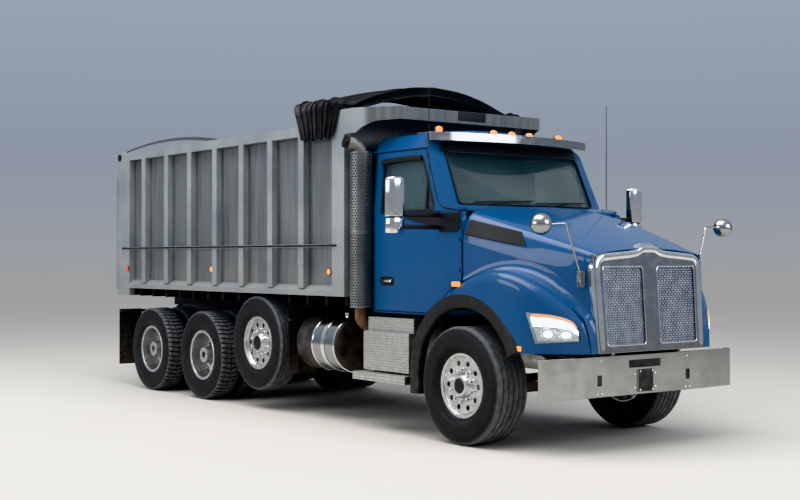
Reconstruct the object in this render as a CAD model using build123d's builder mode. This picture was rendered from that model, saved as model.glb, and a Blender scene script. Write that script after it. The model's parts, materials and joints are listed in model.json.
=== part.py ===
from build123d import *
import os
from math import atan2, cos, degrees, hypot, radians, sin, sqrt

os.makedirs("parts", exist_ok=True)

# Tri-axle dump truck, in millimetres: +X ahead, +Y left, +Z up, ground at Z = 0.
# The X origin is midway between the grille's foremost and the tailgate's rearmost point.

# Reach of the truck, each way from the front axle
FRONT_REACH = 1215.0
REAR_REACH = 7105.0
AXLE_X = (REAR_REACH - FRONT_REACH) / 2

# Clearances
RUN_GAP = 0.3
PART_GAP = 8.0

# Axles
FRONT_R = 536.0
FRONT_TYRE_W = 385.0
FRONT_TRACK = 1040.0
KINGPIN_Y = 905.0
TANDEM_X = (AXLE_X - 4786.0, AXLE_X - 6105.0)
REAR_R = 525.0
REAR_TYRE_W = 279.0
DUAL_OUTER = 1080.0
DUAL_INNER = 737.0
PUSHER_X = AXLE_X - 3515.0
PUSHER_Z = 736.0
PUSHER_TRACK = 1078.0
RIM_R = 286.0
SPINDLE_R = 40.0
HAND_HOLES = 10
HAND_HOLE_R = 24.0
HAND_HOLE_PCR = 205.0

# Frame
RAIL_OUT = 430.0
RAIL_FLANGE = 90.0
RAIL_T = 10.0
RAIL_TOP = 1045.0
RAIL_H = 250.0
RAIL_FRONT = AXLE_X + 960.0
RAIL_REAR = AXLE_X - 6780.0
CROSS_X = tuple(AXLE_X + d for d in (870.0, -800.0, -1700.0, -2650.0, -4150.0, -5745.0, -6450.0))
CROSS_T = 60.0
RAIL_IN = RAIL_OUT - RAIL_T
RAIL_BOTTOM = RAIL_TOP - RAIL_H

# Hoist: one cylinder under the bed, from a cross member ahead to two ears below the floor
HOIST_X = CROSS_X[5]
HOIST_Z = 1060.0
HOIST_HEAD_X = HOIST_X + 2300.0
HOIST_HEAD_Z = 1180.0
HOIST_LENGTH = hypot(HOIST_HEAD_X - HOIST_X, HOIST_HEAD_Z - HOIST_Z)
HOIST_ANGLE = degrees(atan2(HOIST_HEAD_Z - HOIST_Z, HOIST_HEAD_X - HOIST_X))
HOIST_EYE_R = 32.0
HOIST_EAR_Y = (36.0, 56.0)
HOIST_PIN_R = 15.0
BARREL_R = 60.0
BARREL_L = (55.0, 1250.0)
HOIST_ROD_R = 35.0
ROD_START = 720.0
CROSS_TOP = RAIL_TOP - 4 * RAIL_T

# Tipping hinge at the tail
TIP_X = AXLE_X - 6880.0
TIP_Z = 1000.0
TIP_PIN_R = 25.0
TIP_EAR_R = 44.0
EAR_T = 30.0

# Bed
BED_FRONT = AXLE_X - 1790.0
BED_REAR = AXLE_X - 7030.0
BED_HALF = 1219.0
POST_DEPTH = 84.0
POST_W = 105.0
SHEET = 14.0
SIDE_IN = BED_HALF - POST_DEPTH - SHEET
FLOOR_BOTTOM = 1290.0
FLOOR_T = 20.0
SHELF_Z = 1405.0
TOP_RAIL_Z = 2965.0
BED_TOP = 3068.0
POST_X = tuple(AXLE_X + d for d in (-6291.0, -5669.0, -5065.0, -4444.0, -3832.0, -3215.0, -2590.0))
REAR_POST_FRONT = AXLE_X - 6700.0
FRONT_POST_REAR = AXLE_X - 2010.0
RUB_Z = (1795.0, 1825.0)
SILL_GAP = 8.0
SILL_BOTTOM = RAIL_TOP + SILL_GAP

# Tailgate
GATE_T = 60.0
GATE_HINGE_X = BED_REAR - 45.0
GATE_HINGE_Z = 3010.0

# Cab
CAB_HALF = 1050.0
CAB_BACK = AXLE_X - 1600.0
CAB_FRONT = AXLE_X - 118.0
CAB_FLOOR = 1144.0
CAB_WALL = 45.0
BELT_Z = 2131.0
DRIP_Z = 2735.0
DRIP_Y = 1005.0
ROOF_EDGE_Y = 880.0
ROOF_EDGE_Z = 2888.0
ROOF_CROWN = 2955.0
GLASS_T = 8.0
SCREEN_LOW = (AXLE_X - 440.0, 2175.0)
SCREEN_TOP = (AXLE_X - 677.0, 2694.0)
SCREEN_HALF_LOW = 884.0
SCREEN_HALF_TOP = 870.0
SCREEN_BULGE = 150.0
SCREEN_LEDGE = 20.0
DOOR_FRONT = AXLE_X - 160.0
DOOR_REAR = AXLE_X - 1500.0
DOOR_T = 60.0
DOOR_TOP_FRONT = AXLE_X - 735.0
PILLAR_FOOT = (AXLE_X - 508.0, 2205.0)
COWL_HALF = 980.0
CAB_CORNER_R = 120.0

# Wheel arch of the hood
ARCH_X = AXLE_X + 10.0
ARCH_Z = 600.0
ARCH_R = 655.0
FLARE_R = 747.0
FLARE_Y = 1219.0
FLARE_TAIL = 408.0

# Hood
HOOD_REAR = DOOR_FRONT + PART_GAP
HOOD_WALL = 25.0
HOOD_TILT_X = AXLE_X + 1118.0
HOOD_TILT_Z = 858.0
FENDER_HALF = 1192.0

# Bumper
BUMPER_LOW = 484.0
BUMPER_TOP = 834.0
BUMPER_FACE = AXLE_X + 1110.0
BUMPER_END = AXLE_X + 1080.0
BUMPER_HALF = 1219.0
BUMPER_T = 12.0


def keep(piece, name):
    """Label a finished piece and write it as its own STEP file."""
    piece.part.label = name
    export_step(piece.part, f"parts/{name}.step")


def block(x, y, z, mode=Mode.ADD):
    """Box between a low and a high limit on each axis."""
    middle = ((x[0] + x[1]) / 2, (y[0] + y[1]) / 2, (z[0] + z[1]) / 2)
    with Locations(middle):
        Box(x[1] - x[0], y[1] - y[0], z[1] - z[0], mode=mode)


def side_shape(points, y, mode=Mode.ADD):
    """Outline of X, Z points, carried across between two Y limits."""
    with BuildSketch(Plane.XZ.offset(-y[1])) as outline:
        with BuildLine():
            Polyline(*points, close=True)
        make_face()
    extrude(outline.sketch, amount=y[1] - y[0], mode=mode)


def plan_shape(points, z, mode=Mode.ADD):
    """Outline of X, Y points, raised between two Z limits."""
    with BuildSketch(Plane.XY.offset(z[0])) as outline:
        with BuildLine():
            Polyline(*points, close=True)
        make_face()
    extrude(outline.sketch, amount=z[1] - z[0], mode=mode)


def front_shape(points, x, mode=Mode.ADD):
    """Outline of Y, Z points, carried along between two X limits."""
    with BuildSketch(Plane.YZ.offset(x[0])) as outline:
        with BuildLine():
            Polyline(*points, close=True)
        make_face()
    extrude(outline.sketch, amount=x[1] - x[0], mode=mode)


def across(x, z, y, radius, mode=Mode.ADD):
    """Round bar along Y between two Y limits."""
    with Locations(Location((x, (y[0] + y[1]) / 2, z), (90, 0, 0))):
        Cylinder(radius, y[1] - y[0], mode=mode)


def along(y, z, x, radius, mode=Mode.ADD):
    """Round bar along X between two X limits."""
    with Locations(Location(((x[0] + x[1]) / 2, y, z), (0, 90, 0))):
        Cylinder(radius, x[1] - x[0], mode=mode)


def upright(x, y, z, radius, mode=Mode.ADD):
    """Round bar along Z between two Z limits."""
    with Locations((x, y, (z[0] + z[1]) / 2)):
        Cylinder(radius, z[1] - z[0], mode=mode)


def turned(x, z, profile, mode=Mode.ADD):
    """Profile of Y, radius points, turned about a wheel's axis."""
    with BuildSketch(Plane(origin=(x, 0, z), x_dir=(0, 1, 0), z_dir=(1, 0, 0))) as section:
        with BuildLine():
            Polyline(*profile, close=True)
        make_face()
    revolve(section.sketch, axis=Axis((x, 0, z), (0, 1, 0)), mode=mode)


# Chassis

with BuildPart() as frame_rails:
    with BuildSketch(Plane.YZ.offset(RAIL_REAR)):
        with BuildLine():
            Polyline(
                (RAIL_OUT, RAIL_BOTTOM),
                (RAIL_OUT, RAIL_TOP),
                (RAIL_OUT - RAIL_FLANGE, RAIL_TOP),
                (RAIL_OUT - RAIL_FLANGE, RAIL_TOP - RAIL_T),
                (RAIL_IN, RAIL_TOP - RAIL_T),
                (RAIL_IN, RAIL_BOTTOM + RAIL_T),
                (RAIL_OUT - RAIL_FLANGE, RAIL_BOTTOM + RAIL_T),
                (RAIL_OUT - RAIL_FLANGE, RAIL_BOTTOM),
                close=True,
            )
        make_face()
        mirror(about=Plane.YZ)
    extrude(amount=RAIL_FRONT - RAIL_REAR)
keep(frame_rails, "frame_rails")

# Bumper: a thick plate whose ends sweep back, carried by two brackets from the rails
BUMPER_SWEEP_Y = 760.0
BUMPER_RETURN = 60.0
BRACKET_T = 20.0
TOW_Y = 575.0
TOW_SLOT = (56.0, 90.0)
TOW_Z = 628.0
PLATE_HALF = 95.0
PLATE_Z = (505.0, 700.0)
SLOT_HALF = 205.0
SLOT_Z = (722.0, 788.0)
BUMPER_BACK = BUMPER_FACE - BUMPER_T
HINGE_ARM_Y = (372.0, 402.0)
HINGE_ARM_R = 22.0
HINGE_PIN_R = 12.0
with BuildPart() as front_bumper:
    for side in (-1, 1):
        plan_shape(
            [
                (BUMPER_BACK, 0),
                (BUMPER_FACE, 0),
                (BUMPER_FACE, side * BUMPER_SWEEP_Y),
                (BUMPER_END, side * BUMPER_HALF),
                (BUMPER_END - BUMPER_RETURN, side * BUMPER_HALF),
                (BUMPER_END - BUMPER_RETURN, side * (BUMPER_HALF - BUMPER_T)),
                (BUMPER_END - BUMPER_T, side * (BUMPER_HALF - BUMPER_T)),
                (BUMPER_BACK, side * BUMPER_SWEEP_Y),
            ],
            (BUMPER_LOW, BUMPER_TOP),
        )
        block(
            (BUMPER_BACK, BUMPER_FACE),
            (side * TOW_Y - TOW_SLOT[0] / 2, side * TOW_Y + TOW_SLOT[0] / 2),
            (TOW_Z - TOW_SLOT[1] / 2, TOW_Z + TOW_SLOT[1] / 2),
            Mode.SUBTRACT,
        )
    block((BUMPER_BACK, BUMPER_FACE), (-SLOT_HALF, SLOT_HALF), SLOT_Z, Mode.SUBTRACT)
    block(
        (BUMPER_BACK - 2 * BUMPER_T, BUMPER_BACK),
        (-SLOT_HALF - BUMPER_T, SLOT_HALF + BUMPER_T),
        (SLOT_Z[0] - BUMPER_T, SLOT_Z[1] + BUMPER_T),
    )
    block((BUMPER_FACE, BUMPER_FACE + BUMPER_T), (-PLATE_HALF, PLATE_HALF), PLATE_Z)
keep(front_bumper, "front_bumper")

# Brackets and cross members of the frame, one node
CAB_MOUNT_X = (AXLE_X - 1500.0, AXLE_X - 320.0)
HOOD_PLATE_Y = (RAIL_IN - BRACKET_T, RAIL_IN)
TIP_PLATE_Y = (RAIL_IN - EAR_T, RAIL_IN)
TIP_EAR_Y = (TIP_PLATE_Y[0] - EAR_T - 5, TIP_PLATE_Y[0] - 5)
with BuildPart() as frame_brackets:
    for x in CROSS_X:
        block(
            (x - CROSS_T / 2, x + CROSS_T / 2),
            (-RAIL_IN, RAIL_IN),
            (RAIL_BOTTOM + RAIL_T, CROSS_TOP),
        )
    for side in (-1, 1):
        near, far = sorted((side * RAIL_OUT, side * (RAIL_OUT + BRACKET_T)))
        side_shape(
            [
                (RAIL_FRONT - 200, RAIL_BOTTOM),
                (RAIL_FRONT - 100, BUMPER_LOW + 60),
                (BUMPER_BACK, BUMPER_LOW + 60),
                (BUMPER_BACK, BUMPER_TOP - 20),
                (RAIL_FRONT, RAIL_TOP - 60),
                (RAIL_FRONT - 200, RAIL_TOP - 60),
            ],
            (near, far),
        )
        # plates from the rail webs ahead to the hood's tilt pins
        near, far = sorted((side * HOOD_PLATE_Y[0], side * HOOD_PLATE_Y[1]))
        side_shape(
            [
                (RAIL_FRONT - 55, RAIL_TOP - 2 * RAIL_T),
                (RAIL_FRONT - 55, RAIL_BOTTOM + 3 * RAIL_T),
                (HOOD_TILT_X, HOOD_TILT_Z - HINGE_ARM_R),
                (HOOD_TILT_X, HOOD_TILT_Z + HINGE_ARM_R),
            ],
            (near, far),
        )
        across(HOOD_TILT_X, HOOD_TILT_Z, (near, far), HINGE_ARM_R)
        tip = side * (HOOD_PLATE_Y[1] + BRACKET_T + 6)
        pin_near, pin_far = sorted((side * HOOD_PLATE_Y[0], tip))
        across(HOOD_TILT_X, HOOD_TILT_Z, (pin_near, pin_far), HINGE_PIN_R)
        # plates from the rail webs back to the tipping pin
        near, far = sorted((side * TIP_PLATE_Y[0], side * TIP_PLATE_Y[1]))
        side_shape(
            [
                (RAIL_REAR + 240, RAIL_TOP - RAIL_T),
                (RAIL_REAR + 240, RAIL_BOTTOM + RAIL_T),
                (TIP_X, TIP_Z - TIP_EAR_R),
                (TIP_X, TIP_Z + TIP_EAR_R - 9),
                (RAIL_REAR, RAIL_TOP - RAIL_T),
            ],
            (near, far),
        )
        across(TIP_X, TIP_Z, (near, far), TIP_EAR_R)
        # cab mounts on the rails
        near, far = sorted((side * (RAIL_OUT - RAIL_FLANGE), side * RAIL_OUT))
        for x in CAB_MOUNT_X:
            block((x - CROSS_T, x + CROSS_T), (near, far), (RAIL_TOP, CAB_FLOOR))
        # ears of the hoist's foot
        near, far = sorted((side * HOIST_EAR_Y[0], side * HOIST_EAR_Y[1]))
        across(HOIST_X, HOIST_Z, (near, far), HOIST_EYE_R)
        block((HOIST_X - CROSS_T / 2, HOIST_X + CROSS_T / 2), (near, far), (CROSS_TOP, HOIST_Z))
    across(TIP_X, TIP_Z, (-TIP_PLATE_Y[1], TIP_PLATE_Y[1]), TIP_PIN_R)
    across(HOIST_X, HOIST_Z, (-HOIST_EAR_Y[1], HOIST_EAR_Y[1]), HOIST_PIN_R)
keep(frame_brackets, "frame_brackets")

# Engine: one plain block on four feet that reach the rail flanges
ENGINE_X = (AXLE_X - 100.0, AXLE_X + 820.0)
ENGINE_HALF = 285.0
ENGINE_Z = (780.0, 1530.0)
with BuildPart() as engine_block:
    block(ENGINE_X, (-ENGINE_HALF, ENGINE_HALF), ENGINE_Z)
    fillet(engine_block.edges().filter_by(Axis.X), 60)
    for x in (ENGINE_X[0] + 150, ENGINE_X[1] - 150):
        block((x - 50, x + 50), (-RAIL_OUT, RAIL_OUT), (RAIL_TOP, RAIL_TOP + 60))
keep(engine_block, "engine_block")

# Radiator: a core between two tanks, standing on the rails
RADIATOR_X = (AXLE_X + 880.0, AXLE_X + 950.0)
RADIATOR_HALF = 440.0
RADIATOR_TOP = 1560.0
with BuildPart() as radiator:
    block(RADIATOR_X, (-RADIATOR_HALF, RADIATOR_HALF), (RAIL_TOP, RADIATOR_TOP))
    for z in (RAIL_TOP, RADIATOR_TOP - 80):
        block((RADIATOR_X[0] - 25, RADIATOR_X[1] + 25), (-RADIATOR_HALF, RADIATOR_HALF), (z, z + 80))
keep(radiator, "radiator")

# Front axle: dropped beam with an eye at each kingpin
BEAM_Z = (430.0, 520.0)
BEAM_HALF_X = 55.0
EYE_R = 48.0
EYE_HALF = 62.0
KINGPIN_R = 22.0
KNUCKLE_T = 34.0
with BuildPart() as front_axle:
    for side in (-1, 1):
        front_shape(
            [
                (0, BEAM_Z[0]),
                (side * 560, BEAM_Z[0]),
                (side * 760, FRONT_R - EYE_HALF),
                (side * KINGPIN_Y, FRONT_R - EYE_HALF),
                (side * KINGPIN_Y, FRONT_R + EYE_HALF),
                (side * 730, FRONT_R + EYE_HALF - 10),
                (side * 540, BEAM_Z[1]),
                (0, BEAM_Z[1]),
            ],
            (AXLE_X - BEAM_HALF_X / 2, AXLE_X + BEAM_HALF_X / 2),
        )
    for side in (-1, 1):
        upright(AXLE_X, side * KINGPIN_Y, (FRONT_R - EYE_HALF, FRONT_R + EYE_HALF), EYE_R)
        upright(
            AXLE_X, side * KINGPIN_Y, (FRONT_R - EYE_HALF, FRONT_R + EYE_HALF), KINGPIN_R + RUN_GAP, Mode.SUBTRACT
        )
keep(front_axle, "front_axle")

# Knuckles: a fork round the eye, the kingpin through it, and the spindle outside
FORK_Z = (FRONT_R - EYE_HALF - PART_GAP / 2, FRONT_R + EYE_HALF + PART_GAP / 2)
FORK_WALL = 22.0
SPINDLE_END = 1160.0
for name, side in (("knuckle_left", 1), ("knuckle_right", -1)):
    with BuildPart() as knuckle:
        wall_in = KINGPIN_Y + EYE_R + PART_GAP
        for z in ((FORK_Z[0] - KNUCKLE_T, FORK_Z[0]), (FORK_Z[1], FORK_Z[1] + KNUCKLE_T)):
            upright(AXLE_X, side * KINGPIN_Y, z, EYE_R)
            near, far = sorted((side * KINGPIN_Y, side * (wall_in + FORK_WALL)))
            block((AXLE_X - EYE_R, AXLE_X + EYE_R), (near, far), z)
        near, far = sorted((side * wall_in, side * (wall_in + FORK_WALL)))
        block((AXLE_X - EYE_R, AXLE_X + EYE_R), (near, far), (FORK_Z[0] - KNUCKLE_T, FORK_Z[1] + KNUCKLE_T))
        upright(AXLE_X, side * KINGPIN_Y, (FORK_Z[0] - KNUCKLE_T, FORK_Z[1] + KNUCKLE_T), KINGPIN_R)
        near, far = sorted((side * (wall_in + FORK_WALL), side * SPINDLE_END))
        across(AXLE_X, FRONT_R, (near, far), SPINDLE_R)
    keep(knuckle, name)

# Driven tandem: two housings with a bowl at the middle
HOUSING_R = 72.0
BOWL_R = 210.0
REAR_SPINDLE_END = 1150.0
with BuildPart() as tandem_axles:
    for x in TANDEM_X:
        across(x, REAR_R, (-REAR_SPINDLE_END, REAR_SPINDLE_END), SPINDLE_R)
        across(x, REAR_R, (-560, 560), HOUSING_R)
        turned(x, REAR_R, [(-330, 0), (-330, HOUSING_R), (-130, BOWL_R), (130, BOWL_R), (330, HOUSING_R), (330, 0)])
    with Locations(Location(((TANDEM_X[0] + 530 + TANDEM_X[1]) / 2, 0, REAR_R + 40), (0, 90, 0))):
        Cylinder(55, TANDEM_X[0] + 530 - TANDEM_X[1])
    with Locations(Location((TANDEM_X[0] + 530 + 900, 0, REAR_R + 90), (0, 88, 0))):
        Cylinder(50, 1900)
keep(tandem_axles, "tandem_axles")

# Suspension: leaf springs ahead, walking beams with saddles behind, and the tail's flap arms
BEAM_Y = (450.0, 545.0)
SADDLE_X = (TANDEM_X[0] + TANDEM_X[1]) / 2
FLAP_X = AXLE_X - 7000.0
FLAP_BAR_Z = 980.0
FLAP_BAR_R = 18.0
FRONT_FLAP_X = AXLE_X - 2843.0
FRONT_FLAP_Z = 1020.0
FLAP_T = 12.0
FLAP_HALF = 1215.0
LEAF_Y = (440.0, 520.0)
with BuildPart() as suspension:
    for side in (-1, 1):
        near, far = sorted((side * LEAF_Y[0], side * LEAF_Y[1]))
        side_shape(
            [
                (AXLE_X - 720, 700),
                (AXLE_X - 300, BEAM_Z[1] + 60),
                (AXLE_X - 60, BEAM_Z[1]),
                (AXLE_X + 60, BEAM_Z[1]),
                (AXLE_X + 300, BEAM_Z[1] + 60),
                (AXLE_X + 720, 700),
                (AXLE_X + 720, 728),
                (AXLE_X + 300, BEAM_Z[1] + 120),
                (AXLE_X + 60, BEAM_Z[1] + 90),
                (AXLE_X - 60, BEAM_Z[1] + 90),
                (AXLE_X - 300, BEAM_Z[1] + 120),
                (AXLE_X - 720, 728),
            ],
            (near, far),
        )
        near, far = sorted((side * RAIL_OUT, side * LEAF_Y[1]))
        for end in (-1, 1):
            x = AXLE_X + end * 700
            block((x - 45, x + 45), (near, far), (690, RAIL_BOTTOM + 130))
    for side in (-1, 1):
        near, far = sorted((side * BEAM_Y[0], side * BEAM_Y[1]))
        side_shape(
            [
                (TANDEM_X[1] - 110, REAR_R - HOUSING_R - 60),
                (SADDLE_X, REAR_R - HOUSING_R - 110),
                (TANDEM_X[0] + 110, REAR_R - HOUSING_R - 60),
                (TANDEM_X[0] + 110, REAR_R - HOUSING_R),
                (TANDEM_X[0] - 110, REAR_R - HOUSING_R),
                (SADDLE_X, REAR_R - HOUSING_R + 20),
                (TANDEM_X[1] + 110, REAR_R - HOUSING_R),
                (TANDEM_X[1] - 110, REAR_R - HOUSING_R),
            ],
            (near, far),
        )
        near, far = sorted((side * RAIL_OUT, side * BEAM_Y[1]))
        side_shape(
            [
                (SADDLE_X - 120, REAR_R - HOUSING_R - 60),
                (SADDLE_X + 120, REAR_R - HOUSING_R - 60),
                (SADDLE_X + 260, RAIL_TOP - 60),
                (SADDLE_X - 260, RAIL_TOP - 60),
            ],
            (near, far),
        )
    for side in (-1, 1):
        near, far = sorted((side * RAIL_OUT, side * (RAIL_OUT + 20)))
        block((RAIL_REAR, RAIL_REAR + 135), (near, far), (900, FLAP_BAR_Z + 20))
        near, far = sorted((side * (RAIL_OUT + 10), side * (RAIL_OUT + 30)))
        block((FLAP_X + FLAP_T / 2, RAIL_REAR + 40), (near, far), (FLAP_BAR_Z - 30, FLAP_BAR_Z + 20))
        near, far = sorted((side * (RAIL_OUT + 10), side * FLAP_HALF))
        across(FLAP_X + FLAP_T / 2 + FLAP_BAR_R, FLAP_BAR_Z, (near, far), FLAP_BAR_R)
        near, far = sorted((side * RAIL_OUT, side * FLAP_HALF))
        across(FRONT_FLAP_X + FLAP_T / 2 + FLAP_BAR_R, FRONT_FLAP_Z, (near, far), FLAP_BAR_R)
keep(suspension, "suspension")

# Lift axle: a straight tube in its raised place, with an arm and an air spring each side
PUSHER_TUBE_R = 50.0
PUSHER_END = 1150.0
with BuildPart() as pusher_axle:
    across(PUSHER_X, PUSHER_Z, (-PUSHER_END, PUSHER_END), SPINDLE_R)
    across(PUSHER_X, PUSHER_Z, (-700, 700), PUSHER_TUBE_R)
    for side in (-1, 1):
        near, far = sorted((side * (RAIL_OUT + 10), side * (RAIL_OUT + 70)))
        side_shape(
            [
                (PUSHER_X - 80, PUSHER_Z - 90),
                (PUSHER_X + 80, PUSHER_Z - 90),
                (PUSHER_X + 560, RAIL_BOTTOM - 40),
                (PUSHER_X + 600, RAIL_BOTTOM + 120),
                (PUSHER_X + 480, RAIL_BOTTOM + 120),
                (PUSHER_X + 80, PUSHER_Z + 90),
                (PUSHER_X - 80, PUSHER_Z + 90),
            ],
            (near, far),
        )
        near, far = sorted((side * RAIL_OUT, side * (RAIL_OUT + 70)))
        block((PUSHER_X + 480, PUSHER_X + 600), (near, far), (RAIL_BOTTOM, RAIL_BOTTOM + 180))
keep(pusher_axle, "pusher_axle")


# Wheels

def tyre_profile(middle, radius, width, shoulder):
    """Y, radius outline of a tyre's section about its middle plane."""
    half = width / 2
    return [
        (middle - half * 0.72, RIM_R + RUN_GAP),
        (middle + half * 0.72, RIM_R + RUN_GAP),
        (middle + half, RIM_R + 0.45 * (radius - RIM_R)),
        (middle + half * 0.93, radius - shoulder),
        (middle + half * 0.74, radius),
        (middle - half * 0.74, radius),
        (middle - half * 0.93, radius - shoulder),
        (middle - half, RIM_R + 0.45 * (radius - RIM_R)),
    ]


def rim_profile(middle, half, side, disc, hub, bore):
    """Y, radius outline of a rim, its disc and its hub; disc is the disc's outer face."""
    near, far = middle - side * half, middle + side * half
    return [
        (near, RIM_R),
        (far, RIM_R),
        (far, RIM_R - 14),
        (disc + side * 2, RIM_R - 34),
        (disc + side * 2, RIM_R - 60),
        (disc, 120),
        (hub[1], 90),
        (hub[1], bore),
        (hub[0], bore),
        (hub[0], 110),
        (disc - side * 24, 140),
        (disc - side * 24, RIM_R - 50),
        (near, RIM_R - 16),
    ]


WHEELS = (
    # name, axle X, axle Z, tyre radius, tyre width, tyre middles, disc face, hub start, hub end
    ("front", AXLE_X, FRONT_R, FRONT_R, FRONT_TYRE_W, (FRONT_TRACK,), 1165.0, 1000.0, 1215.0),
    ("drive_front", TANDEM_X[0], REAR_R, REAR_R, REAR_TYRE_W, (DUAL_INNER, DUAL_OUTER), 985.0, 640.0, 1170.0),
    ("drive_rear", TANDEM_X[1], REAR_R, REAR_R, REAR_TYRE_W, (DUAL_INNER, DUAL_OUTER), 985.0, 640.0, 1170.0),
    ("pusher", PUSHER_X, PUSHER_Z, REAR_R, REAR_TYRE_W, (PUSHER_TRACK,), 1150.0, 960.0, 1195.0),
)
for name, x, z, radius, width, middles, disc, hub_start, hub_end in WHEELS:
    for word, side in (("left", 1), ("right", -1)):
        with BuildPart() as tyre:
            for middle in middles:
                turned(x, z, tyre_profile(side * middle, radius, width, 40))
        keep(tyre, f"tyre_{name}_{word}")
        with BuildPart() as rim:
            half = width * 0.36
            outer = middles[-1]
            hub = (side * hub_start, side * hub_end)
            turned(x, z, rim_profile(side * outer, half, side, side * disc, hub, SPINDLE_R + RUN_GAP))
            if len(middles) > 1:
                near, far = sorted((side * (middles[0] - half), side * (outer - half)))
                turned(x, z, [(near, RIM_R), (far, RIM_R), (far, RIM_R - 16), (near, RIM_R - 16)])
            with Locations(Location((x, side * disc, z), (90, 0, 0))):
                with PolarLocations(HAND_HOLE_PCR, HAND_HOLES):
                    Cylinder(HAND_HOLE_R, 80, mode=Mode.SUBTRACT)
        keep(rim, f"wheel_{name}_{word}")


# Cab

def cab_section(inset):
    """Long bar with the cab's cross-section, drawn in from the outer skin by the inset."""
    with BuildSketch(Plane.YZ.offset(CAB_BACK - 100)) as section:
        with BuildLine():
            Polyline(
                (-ROOF_EDGE_Y + inset, ROOF_EDGE_Z - inset),
                (-DRIP_Y + inset, DRIP_Z),
                (-CAB_HALF + inset, BELT_Z),
                (-CAB_HALF + inset, CAB_FLOOR - 100),
                (CAB_HALF - inset, CAB_FLOOR - 100),
                (CAB_HALF - inset, BELT_Z),
                (DRIP_Y - inset, DRIP_Z),
                (ROOF_EDGE_Y - inset, ROOF_EDGE_Z - inset),
            )
            ThreePointArc(
                (ROOF_EDGE_Y - inset, ROOF_EDGE_Z - inset),
                (0, ROOF_CROWN - inset),
                (-ROOF_EDGE_Y + inset, ROOF_EDGE_Z - inset),
            )
        make_face()
    return extrude(section.sketch, amount=CAB_FRONT - CAB_BACK + 400, mode=Mode.PRIVATE)


def cab_hull(inset):
    """Closed form of the cab, drawn in from the outer skin by the inset."""
    low_x, low_z = SCREEN_LOW
    top_x, top_z = SCREEN_TOP
    lean = (top_x - low_x) / (top_z - low_z)
    roof_front = top_x + lean * (ROOF_EDGE_Z - 60 - top_z)
    with BuildPart() as hull:
        side_shape(
            [
                (CAB_BACK + inset, CAB_FLOOR + inset),
                (CAB_BACK + inset, ROOF_EDGE_Z - 20 - inset),
                (CAB_BACK + 160, ROOF_CROWN - inset),
                (roof_front - 160, ROOF_CROWN - inset),
                (roof_front - inset, ROOF_EDGE_Z - 60 - inset / 2),
                (low_x - inset + SCREEN_BULGE + SCREEN_LEDGE, low_z - inset),
                (CAB_FRONT - inset, low_z - 50 - inset),
                (CAB_FRONT - inset, CAB_FLOOR + inset),
            ],
            (-CAB_HALF, CAB_HALF),
        )
        add(cab_section(inset), mode=Mode.INTERSECT)
        slope = Vector(top_x - low_x, 0, top_z - low_z).normalized()
        with BuildSketch(Plane.XY.offset(low_z)) as crown:
            with BuildLine():
                Polyline(
                    (low_x - inset, CAB_HALF + 30),
                    (low_x - 3000, CAB_HALF + 30),
                    (low_x - 3000, -CAB_HALF - 30),
                    (low_x - inset, -CAB_HALF - 30),
                )
                ThreePointArc(
                    (low_x - inset, -CAB_HALF - 30),
                    (low_x - inset + SCREEN_BULGE, 0),
                    (low_x - inset, CAB_HALF + 30),
                )
            make_face()
        with BuildPart(mode=Mode.PRIVATE) as canopy:
            extrude(crown.sketch, amount=1200, dir=slope)
            extrude(crown.sketch, amount=0.5 * inset + 0.1, dir=-slope)
            block((CAB_BACK - 100, CAB_FRONT + 200), (-1200, 1200), (CAB_FLOOR - 200, low_z))
        add(canopy.part, mode=Mode.INTERSECT)
    return hull.part


DOOR_OUTLINE = [
    (DOOR_REAR, CAB_FLOOR + 20),
    (DOOR_REAR, DRIP_Z - 10),
    (DOOR_TOP_FRONT, DRIP_Z - 10),
    PILLAR_FOOT,
    (PILLAR_FOOT[0] + 70, BELT_Z + 20),
    (DOOR_FRONT, BELT_Z - 20),
    (DOOR_FRONT, 1480),
    (DOOR_FRONT - 110, 1425),
    (DOOR_FRONT - 470, CAB_FLOOR + 20),
]
WINDOW_OUTLINE = [
    (AXLE_X - 1390, BELT_Z),
    (AXLE_X - 1390, DRIP_Z - 85),
    (DOOR_TOP_FRONT - 40, DRIP_Z - 85),
    (PILLAR_FOOT[0] - 65, PILLAR_FOOT[1]),
    (PILLAR_FOOT[0] - 65, BELT_Z),
]


def grown(points, gap):
    """Outline offset outwards by the gap."""
    with BuildSketch(Plane.XZ) as sketch:
        with BuildLine():
            Polyline(*points, close=True)
        make_face()
        offset(amount=gap, kind=Kind.INTERSECTION)
    return sketch.sketch


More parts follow.
